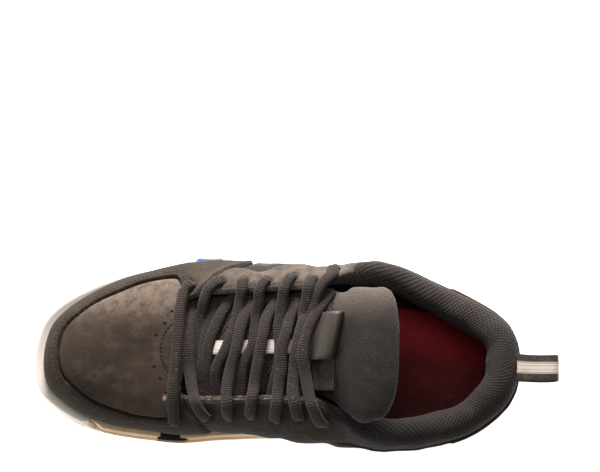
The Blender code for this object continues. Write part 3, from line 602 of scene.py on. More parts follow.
guardSeam = makeSpline(
    # turn round the outline, place of the toe panel's seam on the way up
    [0.026, 0.17, 0.367, 0.576, 0.772, 0.942, 1.06, 1.13, 1.3, 1.5, 1.7, 1.8, 1.9, 2.05,
     2.3, 2.6, 3.14, 3.7, 3.95, 4.2, 4.4, 4.49, 4.7, 4.9, 5.05, 5.184, 5.328, 5.524, 5.733, 5.943, 6.165],
    [0.33, 0.328, 0.358, 0.402, 0.47, 0.52, 0.585, 0.64, 0.66, 0.6, 0.57, 0.58, 0.64, 0.74,
     0.83, 0.85, 0.83, 0.85, 0.8, 0.72, 0.6, 0.54, 0.51, 0.54, 0.57, 0.58, 0.5, 0.46,
     0.41, 0.39, 0.345], 2 * pi)
sideSeams = {
    # turn at each place on the way up, for the seam between the vamp and the eyestay
    "lateral": makeSpline([0.4, 0.5, 0.58, 0.64, 0.71, 0.78, 0.84, 0.92, 1.0],
                          [1.475, 1.462, 1.436, 1.402, 1.368, 1.345, 1.322, 1.285, 1.24]),
    "medial": makeSpline([0.0, 0.34, 0.55, 0.7, 0.84, 0.9, 1.0],
                         [4.955, 4.985, 5.000, 5.013, 5.05, 5.079, 5.12]),
}


def evenTurns(count):
    fine = np.linspace(0.0, 2 * pi, 4001)
    run = runOf(outline(fine) * np.array([0.85, 1.0, 1.0]))
    return np.interp(np.arange(count) / count * run[-1], run, fine)


def creaseField(x, y, rows):
    total = np.zeros_like(x)
    for ax, ay, bx, by, depth, width in rows:
        dx, dy = bx - ax, by - ay
        size = np.hypot(dx, dy)
        t = ((x - ax) * dx + (y - ay) * dy) / size ** 2
        off = ((x - ax) * dy - (y - ay) * dx) / size + 0.0012 * np.sin(t * 5.0)
        ends = ease(t, -0.15, 0.25) * (1.0 - ease(t, 0.75, 1.15))
        total -= depth * ends * (bell(off, 0.0, width) - 0.5 * bell(np.abs(off), 1.6 * width, width))
    return total


def upperGrid():
    sizes, wallThick = upperSizes, form["wall"]
    turns = evenTurns(sizes["columns"])
    col = columnsAt(turns)
    wallT = np.linspace(0.0, 1.0, sizes["wall"])
    rollA = np.linspace(0.0, pi, sizes["roll"] + 2)[1:-1, None, None]
    innerT = np.linspace(1.0, 0.0, sizes["inner"])
    base, lip, p1, p2, top, way, normal, tangent = (
        col[k][None] for k in ("base", "lip", "p1", "p2", "top", "way", "normal", "tangent"))
    pad = col["pad"][None, :, None]
    wall = bezier(lip, p1, p2, top, wallT[:, None] + 0.0 * turns[None])
    roll = top + (normal * (np.cos(rollA) - 1.0) + tangent * np.sin(rollA)) * 0.5 * pad
    drop = np.array([0.0, 0.0, 0.5 * wallThick])
    inner = bezier(lip - way * wallThick, p1 - way * wallThick - drop, p2 - normal * pad, top - normal * pad,
                   innerT[:, None] + 0.0 * turns[None])
    points = np.concatenate([base, wall, roll, inner, base - way * wallThick])
    # 0 base, 1 wall, 2 rolled collar edge, 3 lining, 4 lining's foot
    kind = np.repeat([0, 1, 2, 3, 4], [1, len(wallT), len(rollA), len(innerT), 1])[:, None]
    place = np.concatenate([[0.0], wallT, np.ones(len(rollA)), innerT, [0.0]])
    steps = np.linalg.norm(np.diff(points, axis=0), axis=2)
    up = np.concatenate([np.zeros((1, len(turns))), np.cumsum(steps, 0)])
    return turns, col, points, kind, place[:, None] + 0.0 * turns[None], up


def holeSpots():
    rows = {
        # turn and place on the way up of each lace hole, first at the toe
        "lateral": ((1.19, 0.86), (1.374, 0.89), (1.466, 0.9), (1.558, 0.92), (1.649, 0.89),
                    (1.728, 0.94), (1.82, 0.9)),
        "medial": ((5.136, 0.61), (4.961, 0.76), (4.869, 0.79), (4.778, 0.82), (4.686, 0.8),
                   (4.595, 0.84), (4.503, 0.84)),
    }
    return {side: [wallPoint(turn, t) for turn, t in rows[side]] for side in rows}


laceHoles = holeSpots()


def closeGrid(values, last):
    # one more row and column, so that a pattern runs on round the shoe
    full = np.concatenate([values, last + np.zeros((1, values.shape[1]))])
    return np.concatenate([full, full[:, :1]], 1)


def buildUpper(looks):
    sizes, guard = upperSizes, upperSizes["guard"]
    turns, col, points, kind, t, up = upperGrid()
    share, tall = col["share"][None], np.linalg.norm(col["top"] - col["lip"], axis=-1)[None]
    x, y, z = np.moveaxis(points, -1, 0)
    turn = turns[None] + 0.0 * t
    lateral, onWall = turn < pi, kind == 1
    seam = guardSeam(turns)[:, 0]
    for spot, size, width in sizes["scallops"]:
        seam = seam + size * bell(turns, spot, width)
    d = (t - seam[None]) * tall
    # past: how far behind the side seam, along the shoe, in metres
    sideT = np.where(lateral, sideSeams["lateral"](t)[..., 0], sideSeams["medial"](t)[..., 0])
    past = np.where(lateral, turn - sideT, sideT - turn) * 0.5 * form["length"]
    past *= np.maximum(np.sin(np.minimum(turn, 2 * pi - turn)), 0.5)
    behind = ease(past, -0.0004, 0.0004)
    toeSide = 1.0 - behind
    mid = behind * ease(share, 0.345, 0.4)
    heel = behind - mid
    inPanel = ease(share, 0.6, 0.66) * toeSide * (t > 0)
    # the toe panel's outline: the seam round the toe, closed by a rear edge under the first lace
    rear = (share - 0.7225 - 0.0025 * np.clip(y / 0.03, -1.0, 1.0)) * form["length"]
    dee = -0.0013 * np.logaddexp(-d / 0.0013, -rear / 0.0013)
    # toe: guard proud below the seam, panel softly filled above it, a dark ditch and a rolled edge
    height = guard * ease(-dee, 0.0, 0.0009) * ease(t, 0.0, 0.1)
    height += sizes["panelPuff"] * ease(dee, 0.0003, 0.005)
    height += 0.0005 * bell(-dee, 0.0012, 0.0006) - 0.0004 * bell(-dee, 0.0028, 0.001)
    ditch = bell(dee, 0.0003, sizes["grooveWidth"]) * inPanel * ease(share, 0.69, 0.705)
    height = height * inPanel - sizes["groove"] * ditch
    # eyestay laid over the quarter, with a padded look
    eyestay = guard * ease(d, 0.0, 0.0009) - 0.0006 * bell(d, -0.0006, 0.0008)
    height += mid * (eyestay + 0.0007 * ease(d, 0.0, 0.004) * ease(tall * (1 - t), 0.0, 0.003))
    # vamp piece stands over the eyestay at the side seams
    seamDitch = bell(past, 0.0006, 0.001) * (t > 0.02)
    height += 0.001 * toeSide * (1.0 - inPanel) * (t > 0) - 0.0013 * seamDitch
    height += 0.0006 * bell(past, -0.002, 0.0016) * lateral * (t > 0.3)
    # heel: nubuck below the collar with a step down to the mesh, and the counter's panel
    counter = 0.0008 * (1.0 - ease(share, 0.135, 0.145))
    height += heel * ((guard + counter) * ease(-d, 0.0, 0.001) - 0.0004 * bell(d, 0.0008, 0.001))
    # wear: lumps, creases, and dimples pulled in round the lace holes
    lumps = waves(x, y, 5, 0.03) * 0.00022 + waves(x + z, y - z, 9, 0.012) * 0.00007
    height += lumps * ease(t, 0.05, 0.2) + creaseField(x, y, sizes["creases"]) * ease(t, 0.1, 0.3)
    spots = [spot for side in laceHoles.values() for spot, _ in side]
    holeNear = np.min([np.linalg.norm(points - spot, axis=-1) for spot in spots], 0)
    height -= 0.0016 * bell(holeNear, 0.0, 0.003)
    height *= onWall
    # the padded roll and the lining inside
    quilt = waves(x, y, 21, 0.04, 2) * 0.0006 + waves(x * 2.0 + z, y * 2.0, 22, 0.05, 2) * 0.0003
    height += np.where((kind == 2) | (kind == 3), quilt * (1.0 - ease(share, 0.37, 0.43)), 0.0)
    height *= 1.0 - (kind == 3) * (1.0 - ease(t, 0.0, 0.25))
    normals = unit(np.cross(np.gradient(points, axis=0), np.roll(points, -1, 1) - np.roll(points, 1, 1)))
    if np.mean(np.sum(normals[20:60] * col["way"][None], -1)) < 0:
        normals = -normals
    points = points + normals * height[..., None]
    # lengths for the cloth patterns
    around = runOf(np.concatenate([points[60], points[60, :1]]))
    along = np.tile(around[None], (len(points) + 1, 1))
    fromTop = np.where(onWall, (1 - t) * tall, -0.001)
    layers = (("flat", along, closeGrid(up, up[-1:] + 0.004)), ("seam", along, closeGrid(d, 0.0)),
              ("top", along, closeGrid(fromTop, 0.0)))
    # which look each face takes: 0 leather, 1 spacer mesh, 2 fine mesh of the windows
    tip = onWall & (share < 0.43) & (share > 0.325) & lateral
    look = np.where((kind >= 2) | (onWall & (d > 0.0) & (heel > 0.5) & (t > 0.5)), 1, 0)
    look[tip] = 0
    look[onWall & (mid > 0.5) & (d < 0.0003) & (d > -0.011)] = 2
    look[(kind == 2) & ((share >= 0.405) | (col["pad"][None] < 0.004))] = 0
    firstRoll = int(np.argmax(kind == 2)) + 5
    tip |= (kind == 2) & (share < 0.43) & (share > 0.335) & lateral
    look[:firstRoll][tip[:firstRoll]] = 0
    fields = {
        "ditch": np.clip(ditch + seamDitch * 0.9 + bell(holeNear, 0.0, 0.0026), 0, 1) * onWall,
        "panel": inPanel * ease(dee, 0.0, 0.001) * onWall,
        "past": np.where(onWall, past, 0.1),
        "dee": np.where(onWall & (share > 0.68), dee, 0.1),
        "edgeGap": np.where(onWall, (1 - t) * tall, 0.0),
        "bandArea": lateral * ease(t, 0.42, 0.5) * onWall,
        "rawAndLitEdgeArea": ease(share, 0.38, 0.42) * (1.0 - inPanel) * (kind <= 2) * (0.4 + 0.6 * ~lateral),
        "low": np.clip(1.0 - z / 0.045, 0, 1),
    }
    return gridMesh("upperSkin", points, looks, layers, True, look, fields)


def leatherMaterial(name, base, lit, dark):
    made, tree = newMaterial(name, Roughness=0.82, Sheen_Weight=0.01, Sheen_Roughness=0.5,
                             Specular_IOR_Level=0.12)
    where = position(tree)
    x, y, z = split(where)
    panel, past, low = (attribute(tree, key) for key in ("panel", "past", "low"))
    nap = use(napGroup, Position=where, Patch=85.0, Fibre=1500.0)
    colour = mixColour(ramp(nap["Shade"], 0.35, 1.15), dark, base)
    broad = ramp(noise(where, 28.0, 3.0, 0.5), 0.35, 0.7)
    colour = mixColour(mul(panel, broad, 0.55), colour, lit)
    # painted highlight in patches on the outer shoulder of the toe panel, then painted light in patches on
    # the outer eyestay
    shoulderHighlight = ramp(noise(where, 240.0, 8.0, 0.72), 0.32, 0.62, 0.22, 0.8)
    colour = tint(colour, mul(panel, ramp(y, -0.012, -0.034), shoulderHighlight), 104, 91, 81)
    litPatches = ramp(noise(where, 130.0, 6.0, 0.65), 0.3, 0.65, 0.2, 0.65)
    high = mul(ramp(y, -0.028, -0.046), ramp(z, 0.05, 0.075), litPatches)
    colour = tint(colour, high, 100, 89, 81)
    rows = []
    for layer, offset, pitch, width in upperSizes["stitches"]:
        along, across = lengths(tree, layer)
        rows.append(use(stitchGroup, Along=along, Across=across, Offset=offset, Pitch=pitch, Width=width))
    thread, sunk = (most(*(row[key] for row in rows)) for key in ("Mask", "Ditch"))
    # holes punched through the toe panel, and its dashed arc
    flat = join("ShaderNodeVectorMath", {0: where, 1: (1.0, 1.0, 0.0)}, operation="MULTIPLY")[0]
    nearest = fold("MINIMUM", [farFrom(flat, spot) for spot in upperSizes["toeHoles"]])
    centre, radius = upperSizes["arcCentre"], upperSizes["arcRadius"]
    angle = calc("ARCTAN2", *(calc("SUBTRACT", (x, y)[k], centre[k]) for k in (1, 0)))
    dash = ramp(calc("FRACT", mul(angle, radius / upperSizes["arcPitch"])), 0.3, 0.38)
    ring = nearTo(farFrom(flat, centre), radius, 0.00075, 0.00035)
    arc = mul(ring, dash, nearTo(angle, 0.0, 1.02, 0.98), 0.8)
    hole = mul(most(ramp(nearest, 0.00105, 0.0006), arc), panel)
    # painted shade in the sunken lines of the stitch rows
    colour = tint(colour, mul(sunk, 0.38), 20, 17, 15)
    colour = tint(colour, mul(thread, 0.3), 88, 76, 67)
    # painted shade in the punched holes, the seam ditches and the dimples round the lace holes
    colour = tint(colour, most(hole, mul(attribute(tree, "ditch"), 0.85)), 14, 12, 11)
    # light fuzzy end of the raw edge at the panel's inner tip, with a painted highlight on it, and a zigzag
    # tack at its outer corner
    patchy = ramp(noise(where, 700.0, 3.0, 0.7), 0.35, 0.6)
    tip = ramp(farFrom(flat, upperSizes["lightTip"]), 0.0026, 0.0008)
    colour = tint(colour, mul(tip, patchy, 0.8), 168, 156, 149)
    tack = ramp(farFrom(flat, upperSizes["tack"]), 0.0046, 0.0034)
    zigzag = cordsOf(calc("ADD", x, y), calc("SUBTRACT", x, y), 0.0021, 0.0, 0.0016)
    colour = tint(colour, mul(tack, ramp(zigzag["Shade"], 0.9, 0.4, 0.0, 0.95)), 18, 15, 14)
    # painted shade: thin dark lines along the side seam and the edge of the toe panel
    lines = most(nearTo(past, 0.0004, 0.001, 0.0004),
                 nearTo(attribute(tree, "dee"), 0.0002, 0.0009, 0.0003))
    colour = tint(colour, mul(lines, 0.85), 12, 10, 9)
    rope = cordsOf(lengths(tree, "flat")[1], past, 0.0018, 0.9, 0.0012)
    band = mul(ramp(past, -0.005, -0.0042), ramp(past, -0.0006, -0.0011), attribute(tree, "bandArea"))
    colour = tint(colour, mul(band, ramp(rope["Shade"], 0.8, 0.2)), 26, 22, 20)
    # light line along the top edge: the fuzzy raw edge on the inner side, a painted highlight on the outer
    # side
    rawAndLitEdge = mul(ramp(attribute(tree, "edgeGap"), 0.0009, 0.0001),
              ramp(noise(where, 520.0, 3.0, 0.7), 0.42, 0.62), attribute(tree, "rawAndLitEdgeArea"))
    colour = tint(colour, mul(rawAndLitEdge, 0.5), 122, 110, 102)
    colour = dusty(colour, where, 120.0, 0.09, 176, 160, 146)
    # painted shade: darker towards the ground
    colour = tint(colour, mul(low, 0.55), 32, 26, 22)
    scuff = use(scuffGroup, Position=where, Amount=0.35)
    colour = tint(colour, mul(scuff["Mask"], low), 150, 132, 116)
    height = mulAdd(nap["Height"], 0.16, mul(thread, 0.5))
    height = calc("SUBTRACT", height, mulAdd(hole, 2.0, mul(sunk, 0.45)))
    height = mulAdd(mul(band, rope["Height"]), 1.6, height)
    return dress(made, colour, height, 0.0005, 0.8, ramp(nap["Shade"], 0.4, 1.0, 0.72, 0.92))


def meshMaterial(name, pitch, lit, dark):
    made, tree = newMaterial(name, Roughness=0.85, Sheen_Weight=0.05, Specular_IOR_Level=0.22)
    u, v = lengths(tree, "flat")
    where = position(tree)
    cells = use(spacerGroup, Along=u, Up=mul(v, 0.85), Pitch=pitch)
    fuzz = noise(where, 1400.0, 2.0, 0.6)
    # painted shade in the holes of the mesh
    colour = tint(mixColour(fuzz, dark, lit), mul(cells["Hole"], 0.92), 10, 8, 7)
    # painted shade: darker towards the inner side
    colour = tint(colour, ramp(split(where)[1], 0.012, 0.046, 0.0, 0.7), 20, 16, 15)
    colour = dusty(colour, where, 160.0, 0.05, 170, 156, 144)
    return dress(made, colour, mulAdd(fuzz, 0.25, cells["Height"]), 0.0007, 0.9)


leather = leatherMaterial("nubuckLook", srgb(51, 42, 35), srgb(66, 55, 47), srgb(34, 28, 23))
collarMesh = meshMaterial("collarMeshLook", 0.0026, srgb(53, 44, 40), srgb(29, 24, 21))
windowMesh = meshMaterial("windowMeshLook", 0.0021, srgb(36, 30, 27), srgb(20, 17, 15))
upper = buildUpper([leather, collarMesh, windowMesh])
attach(upper, "root")
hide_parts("upper")
print("stage: upper built")


# tongue: a soft pad with twill on its top, coarse mesh beside a woven strap
tongueSizes = {"rows": 190, "ring": 120}
tongueEdges = makeSpline(
    # share, how far the cloth runs past the frame's tongue at the outer and inner side, in metres
    [0.267, 0.28, 0.293, 0.308, 0.33, 0.35, 0.37, 0.4, 0.425, 0.712],
    [(0.0, 0.0), (0.0004, 0.0), (0.001, 0.0004), (-0.0022, 0.0022), (-0.003, 0.0036), (-0.001, 0.0026),
     (0.002, 0.0008), (0.0006, 0.0), (0.0, 0.0), (0.0, 0.0)])


def buildTongue(looks):
    sizes = tongueSizes
    first, last = tongueTable[0, 0], tongueTable[-1, 0]
    share = first + (last - first) * (1 - np.linspace(0, 1, sizes["rows"])) ** 1.35
    middle, half, up, crown, thick = (values[:, None] for values in tongueSection(share))
    a, b = (values[None, ::-1] for values in oval(sizes["ring"], 0.7, 0.6, 0.5))
    s = share[:, None] + 0.0 * a
    x = xOf(s)
    reach = tongueEdges(share)
    y = middle + a * half + np.where(a < 0, reach[:, :1], reach[:, 1:]) * ease(np.abs(a), 0.3, 1.0)
    puff = 0.0011 * bell(s, 0.332, 0.03) * (1 - np.abs(a) ** 3)
    puff = puff - 0.0012 * bell(s, 0.3905, 0.0045) - 0.0002 * bell(s, 0.283, 0.004)
    puff = puff + waves(x, y, 31, 0.035) * 0.00035 + waves(x, y, 33, 0.011) * 0.00008
    z = up - crown * a * a - 0.5 * thick * (1.0 - b) + puff * ease(b, 0.2, 0.8)
    y = y + 0.001 * np.sin(s * 60.0 + 1.0) * (s < 0.36)
    points = np.stack([x, y, z], -1)
    along = np.tile(runOf(points[:, 30])[:, None], (1, sizes["ring"] + 1))
    layers = [("flat", along, np.concatenate([y, y[:, :1]], 1))]
    # look 0 is the twill of the top, look 1 the coarse mesh below it
    return gridMesh("tonguePad", points, looks, layers, False, np.where(s[:-1] > 0.392, 1, 0))


def twillMaterial(name, lit, dark, pitch, slant):
    made, tree = newMaterial(name, Roughness=0.8, Sheen_Weight=0.08, Sheen_Roughness=0.4,
                             Specular_IOR_Level=0.25)
    where = position(tree)
    cords = cordsOf(*lengths(tree, "flat"), pitch, slant, pitch * 0.9)
    shade = mulAdd(cords["Shade"], 0.75, mul(noise(where, 70.0, 4.0, 0.6), 0.4))
    colour = mixColour(ramp(shade, 0.25, 0.95), dark, lit)
    # painted light: paler on the outer side, along the cords
    litPatches = mul(ramp(split(where)[1], -0.012, -0.04), ramp(shade, 0.15, 0.75, 0.3, 1.0), 0.55)
    colour = tint(colour, litPatches, 128, 113, 104)
    colour = dusty(colour, where, 140.0, 0.05, 176, 160, 150)
    return dress(made, colour, cords["Height"], 0.00045, 0.9)


twill = twillMaterial("tongueTwillLook", srgb(36, 30, 27), srgb(17, 14, 12), 0.0011, 0.8)
coarse = meshMaterial("tongueMeshLook", 0.0034, srgb(48, 40, 36), srgb(24, 20, 18))
tongue = buildTongue([twill, coarse])
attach(tongue, "root")
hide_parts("tongue")
print("stage: tongue built")


def ribbonMesh(name, path, width, thick, look, up, sides, rounding, ribs=0.0, ribPitch=0.0015, ends=1.0):
    # flat oval band along a path; up is the way its broad face looks at each point
    way = unit(np.gradient(path, axis=0))
    wide = unit(np.cross(way, np.asarray(up, float) + 0.0 * path))
    over = np.cross(wide, way)
    a, b = oval(sides, rounding, rounding)
    run = runOf(path)[:, None]
    # cross ribs that bow to the edges, uneven in pitch and depth, on a slow change of width
    shift = 0.56 * ribPitch * np.abs(a) + 0.28 * ribPitch * (np.sin(run * 410.0) + np.sin(run * 237.0 + 1.3))
    deep = 0.72 + 0.28 * np.sin(run * 530.0 + 2.0 * np.sin(run * 91.0))
    swell = deep * np.abs(np.sin(pi * (run + shift) / ribPitch)) ** 0.7
    swell = ribs * (swell + 0.9 * np.sin(run * 150.0 + 400.0 * path[0, 0]) * np.abs(a))
    close = ends + (1.0 - ends) * ease(np.minimum(run, run[-1] - run), 0.0, 0.002)
    w = a * close * (0.5 * width + swell)
    h = b * close * (0.5 * thick + swell)
    points = path[:, None] + wide[:, None] * w[..., None] + over[:, None] * h[..., None]
    return gridMesh(name, points, [look], flatLayer(run[:, 0], np.append(a, a[0]) * 0.5 * width))


# laces: crossings as they lie, high at the end that goes over the eyestay
laceSizes = {"width": 0.0069, "thick": 0.0036, "rib": 0.00012, "ribPitch": 0.00135, "stack": 0.003,
             "step": 0.0004}
strands = (
    # kind (over both, dives lateral, dives medial), lateral hole, medial hole, points: share, y, z in mm
    ("both", 1, 1, ((.684, -37.5, 60.0), (.69, -30.5, 61.4), (.694, -14.5, 62.8), (.695, -2.5, 62.9),
        (.699, 12.8, 62.3), (.701, 28.0, 60.2), (.7, 35.0, 56.5))),
    ("fromLateral", 1, 2, ((.655, -33.5, 55.5), (.667, -26.5, 56.6), (.672, -15.4, 58.2),
        (.671, -3.4, 58.6), (.669, 10.3, 58.4), (.66, 24.0, 62.5), (.655, 29.5, 65.0))),
    ("toMedialUnder", 2, 1, ((.633, -38.0, 68.6), (.643, -31.2, 66.8), (.649, -21.8, 62.4),
        (.652, -3.1, 60.8), (.651, 14.0, 59.2), (.649, 26.3, 57.0), (.652, 33.0, 55.0))),
    ("under", 2, 2, ((.6, -34.5, 62.5), (.619, -30.6, 62.2), (.63, -19.6, 63.9), (.639, -7.7, 63.6),
        (.642, 5.3, 62.6), (.643, 23.8, 58.6), (.642, 32.0, 56.5))),
    ("toMedialUnder", 3, 2, ((.569, -36.5, 77.0), (.572, -30.1, 74.6), (.583, -12.4, 73.1),
        (.598, -1.3, 71.2), (.615, 9.1, 67.6), (.615, 23.5, 62.6), (.616, 32.0, 60.5))),
    ("under", 3, 2, ((.577, -37.0, 66.5), (.591, -31.5, 66.6), (.608, -22.9, 67.6), (.62, -14.6, 67.1),
        (.629, -7.5, 66.0), (.636, 5.4, 64.0), (.635, 23.9, 59.2), (.633, 31.5, 58.0))),
    ("fromLateral", 3, 3, ((.535, -36.0, 72.5), (.547, -29.7, 73.5), (.562, -20.6, 74.6),
        (.576, -2.3, 74.2), (.587, 11.0, 71.6), (.593, 25.5, 72.3), (.592, 30.0, 73.0))),
    ("toMedialUnder", 4, 3, ((.533, -35.6, 83.0), (.535, -29.0, 81.0), (.538, -22.0, 78.4),
        (.544, -3.9, 78.8), (.563, 9.4, 75.0), (.566, 20.0, 72.0), (.568, 30.0, 69.0))),
    ("fromLateral", 4, 4, ((.49, -35.5, 79.5), (.502, -28.5, 80.4), (.518, -19.0, 81.4),
        (.524, -9.5, 81.8), (.533, 7.2, 80.0), (.539, 19.7, 78.4), (.543, 28.0, 80.0))),
    ("toMedialUnder", 5, 4, ((.485, -36.0, 90.5), (.488, -29.0, 88.6), (.491, -20.0, 86.6),
        (.494, -14.5, 86.0), (.491, -3.5, 86.9), (.494, 10.8, 84.6), (.502, 22.0, 81.0),
        (.508, 31.0, 78.0))),
    ("fromLateral", 5, 5, ((.445, -36.5, 85.0), (.458, -29.9, 86.0), (.473, -18.5, 88.2),
        (.48, -9.2, 88.6), (.487, -1.7, 87.6), (.488, 10.9, 86.6), (.493, 24.0, 85.6),
        (.495, 30.0, 86.6))),
    ("toMedialUnder", 6, 5, ((.438, -36.5, 97.0), (.441, -30.0, 95.6), (.446, -21.8, 93.2),
        (.449, -12.3, 93.2), (.454, -3.2, 92.4), (.459, 12.1, 89.6), (.466, 22.0, 86.6),
        (.472, 31.0, 84.0))),
    ("fromLateral", 6, 6, ((.418, -36.5, 91.0), (.431, -29.0, 91.5), (.448, -14.6, 93.2), (.46, 0.2, 92.0),
        (.463, 13.2, 90.0), (.464, 24.0, 90.6), (.46, 31.0, 91.6))),
    ("toMedialUnder", 7, 6, ((.396, -43.0, 97.6), (.409, -39.0, 99.0), (.42, -33.5, 98.4),
        (.427, -26.0, 96.6), (.43, -19.7, 95.8), (.437, -3.0, 95.6), (.445, 12.2, 92.6),
        (.452, 23.0, 90.0), (.457, 31.0, 88.0))),
    ("fromLateral", 7, 7, ((.392, -35.0, 95.0), (.408, -27.5, 97.0), (.427, -18.5, 96.4),
        (.443, -5.9, 95.0), (.447, 4.3, 94.4), (.441, 14.5, 93.4), (.433, 26.0, 95.2), (.428, 31.5, 96.4))),
)


def lacePath(kindOf, lateralHole, medialHole, spots):
    half = 0.5 * laceSizes["thick"]
    points = np.array([(xOf(s), y / 1000.0, z / 1000.0 + 1.1 * half) for s, y, z in spots])
    if kindOf == "fromLateral":
        points[:, 2] += laceSizes["stack"] * ease(np.linspace(0.0, 1.0, len(spots)), 0.1, 0.55)
    if kindOf == "both":
        points[:, 2] += 0.0004

    def enter(side, number):
        spot, normal = laceHoles[side][number - 1]
        return [spot + normal * depth for depth in (-0.0022, 0.0006, half * 1.15)]

    first = enter("lateral", lateralHole) if kindOf in ("both", "toMedialUnder") else []
    last = enter("medial", medialHole)[::-1] if kindOf in ("both", "fromLateral") else []
    return np.array([*first, *points, *last])


def laceMaterial():
    made, tree = newMaterial("laceLook", Roughness=0.86, Sheen_Weight=0.06, Specular_IOR_Level=0.2)
    u, v = lengths(tree, "flat")
    where = position(tree)
    bow = mulAdd(calc("ABSOLUTE", v), 0.15, u)
    cords = cordsOf(bow, v, laceSizes["ribPitch"])
    fuzz = noise(where, 1600.0, 2.0, 0.6)
    shade = mulAdd(fuzz, 0.85, mul(cords["Shade"], 0.28))
    colour = mixColour(ramp(shade, 0.25, 0.85), srgb(15, 12, 11), srgb(53, 45, 41))
    speck = ramp(noise(where, 900.0, 1.0, 0.4), 0.71, 0.76, 0.0, 0.3)
    colour = tint(colour, speck, 150, 138, 130)
    return dress(made, colour, mulAdd(fuzz, 0.4, cords["Height"]), 0.0003, 0.7)


def buildLaces(look):
    sizes = laceSizes
    pieces = []
    for number, row in enumerate(strands):
        line = lacePath(*row)
        path, _ = resample(line, max(30, int(resample(line, 50)[1] / sizes["step"])))
        lean = np.clip(path[:, 1] / 0.045, -1, 1)
        faceWay = unit(np.stack([0.42 + 0.0 * lean, 0.55 * lean * np.abs(lean), 1.0 + 0.0 * lean], -1))
        pieces.append(ribbonMesh("strand%02d" % number, path, sizes["width"], sizes["thick"], look, faceWay,
                                 14, 0.8, sizes["rib"], sizes["ribPitch"], 0.42))
    return mergeMeshes("laceRun", pieces)


laces = buildLaces(laceMaterial())
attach(laces, "root")
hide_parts("laces_1", "laces_2", "laces_3", "laces_4", "laces_5")
print("stage: laces built")


# gusset: dark stretch lining from the tongue's edges down inside the upper
gussetSizes = {"rows": 60, "across": 9, "reach": 0.0125, "fall": 0.024, "thick": 0.0008}


def buildGussets(look):
    sizes = gussetSizes
    share = np.linspace(0.69, 0.408, sizes["rows"])
    middle, half, up, crown, thick = tongueSection(share)
    q = np.linspace(0.0, 1.0, sizes["across"])
    pieces = []
    for number, side in enumerate((-1.0, 1.0)):
        rings = []
        for part, low in [(p, 0.0) for p in q] + [(p, 1.0) for p in q[::-1]]:
            y = middle + side * (half * 0.93 + sizes["reach"] * part)
            z = up - crown - 0.45 * thick - sizes["fall"] * part ** 1.3 - sizes["thick"] * low
            z = z + 0.0012 * np.sin(share * 70.0 + number) * sin(pi * part)
            rings.append(np.stack([xOf(share), y, z], -1))
        layers = flatLayer(xOf(share), np.linspace(0, 0.05, len(rings) + 1))
        pieces.append(gridMesh("gusset%d" % number, np.array(rings).swapaxes(0, 1), [look], layers))
    return pieces


gussetLook = twillMaterial("gussetLook", srgb(34, 29, 27), srgb(18, 16, 15), 0.0012, 0.4)
for gusset in buildGussets(gussetLook):
    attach(gusset, "root")


# woven straps on the tongue: the pale stripe under the laces, and the ribbed one behind the keeper
strapSizes = {
    "stripe": 0.0086, "ribbed": 0.0215, "thick": 0.0012,
    # the stripe's colours: where each starts, as a share of the half width, and its red, green and blue
    "bands": ((0.0, 204, 191, 182), (0.3, 164, 151, 142), (0.38, 206, 195, 186),
              (0.66, 128, 116, 108), (0.74, 190, 177, 168), (0.9, 84, 74, 68)),
}


def tonguePath(shares, across, lift):
    return np.stack([xOf(shares), across, tongueTop(shares, across) + lift], -1)


def stripeMaterial(name, half, pitch, bands):
    made, tree = newMaterial(name, Roughness=0.78, Sheen_Weight=0.15, Specular_IOR_Level=0.3)
    u, v = lengths(tree, "flat")
    cords = cordsOf(u, v, pitch)
    # each band: where it starts, as a share of the half width, then its red, green and blue
    out = calc("DIVIDE", calc("ABSOLUTE", v), half)
    colour = srgb(*bands[0][1:])
    for start, *paint in bands[1:]:
        colour = tint(colour, ramp(out, start - 0.03, start + 0.03), *paint)
    colour = tint(colour, ramp(cords["Shade"], 0.9, 0.1, 0.0, 0.14), 60, 52, 48)
    grime = ramp(noise(position(tree), 160.0, 5.0, 0.7), 0.45, 0.75, 0.0, 0.25)
    return dress(made, tint(colour, grime, 120, 105, 95), cords["Height"], 0.00018, 0.7)


def buildStraps():
    sizes, faceWay = strapSizes, (0.45, 0.0, 1.0)
    shares = np.linspace(0.655, 0.425, 60)
    path = tonguePath(shares, np.interp(shares, [0.42, 0.66], [-0.0022, -0.0028]), 0.0004)
    pale = stripeMaterial("stripeLook", 0.5 * sizes["stripe"], 0.0011, sizes["bands"])
    first = ribbonMesh("tongueStripe", path, sizes["stripe"], sizes["thick"], pale, faceWay, 12, 0.35)
    shares = np.linspace(0.425, 0.386, 24)
    path = tonguePath(shares, 0.0125 + 0.0 * shares, 0.0002)
    dark = twillMaterial("strapLook", srgb(54, 46, 42), srgb(26, 22, 20), 0.0017, 0.0)
    second = ribbonMesh("tongueStrap", path, sizes["ribbed"], sizes["thick"] * 1.4, dark, faceWay, 16, 0.35)
    return first, second


for strap in buildStraps():
    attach(strap, "root")


# lace keeper: soft rubber half tube with a flat foot in front
keeperSizes = {"share": 0.4, "across": -0.0074, "slant": 0.19, "length": 0.027, "width": 0.0125,
               "height": 0.0085, "wall": 0.0016, "foot": 0.0046}


def rubberMaterial(name, base, dark, rough, dirt, *dirtColour, change=None):
    # change: a function that takes the place and the colour, and gives the last colour
    made, tree = newMaterial(name, Roughness=rough, Specular_IOR_Level=0.42)
    where = position(tree)
    cloud = ramp(noise(where, 45.0, 5.0, 0.6), 0.35, 0.75)
    fine = noise(where, 900.0, 2.0, 0.6)
    stain = use(scuffGroup, Position=where, Amount=dirt)
    colour = tint(mixColour(cloud, srgb(*base), srgb(*dark)), stain["Mask"], *dirtColour)
    colour = dusty(colour, where, 130.0, 0.5 * dirt, *dirtColour)
    if change:
        colour = change(where, colour)
    return dress(made, colour, fine, 0.00012, 0.6, ramp(fine, 0.3, 0.7, rough - 0.06, rough + 0.1))


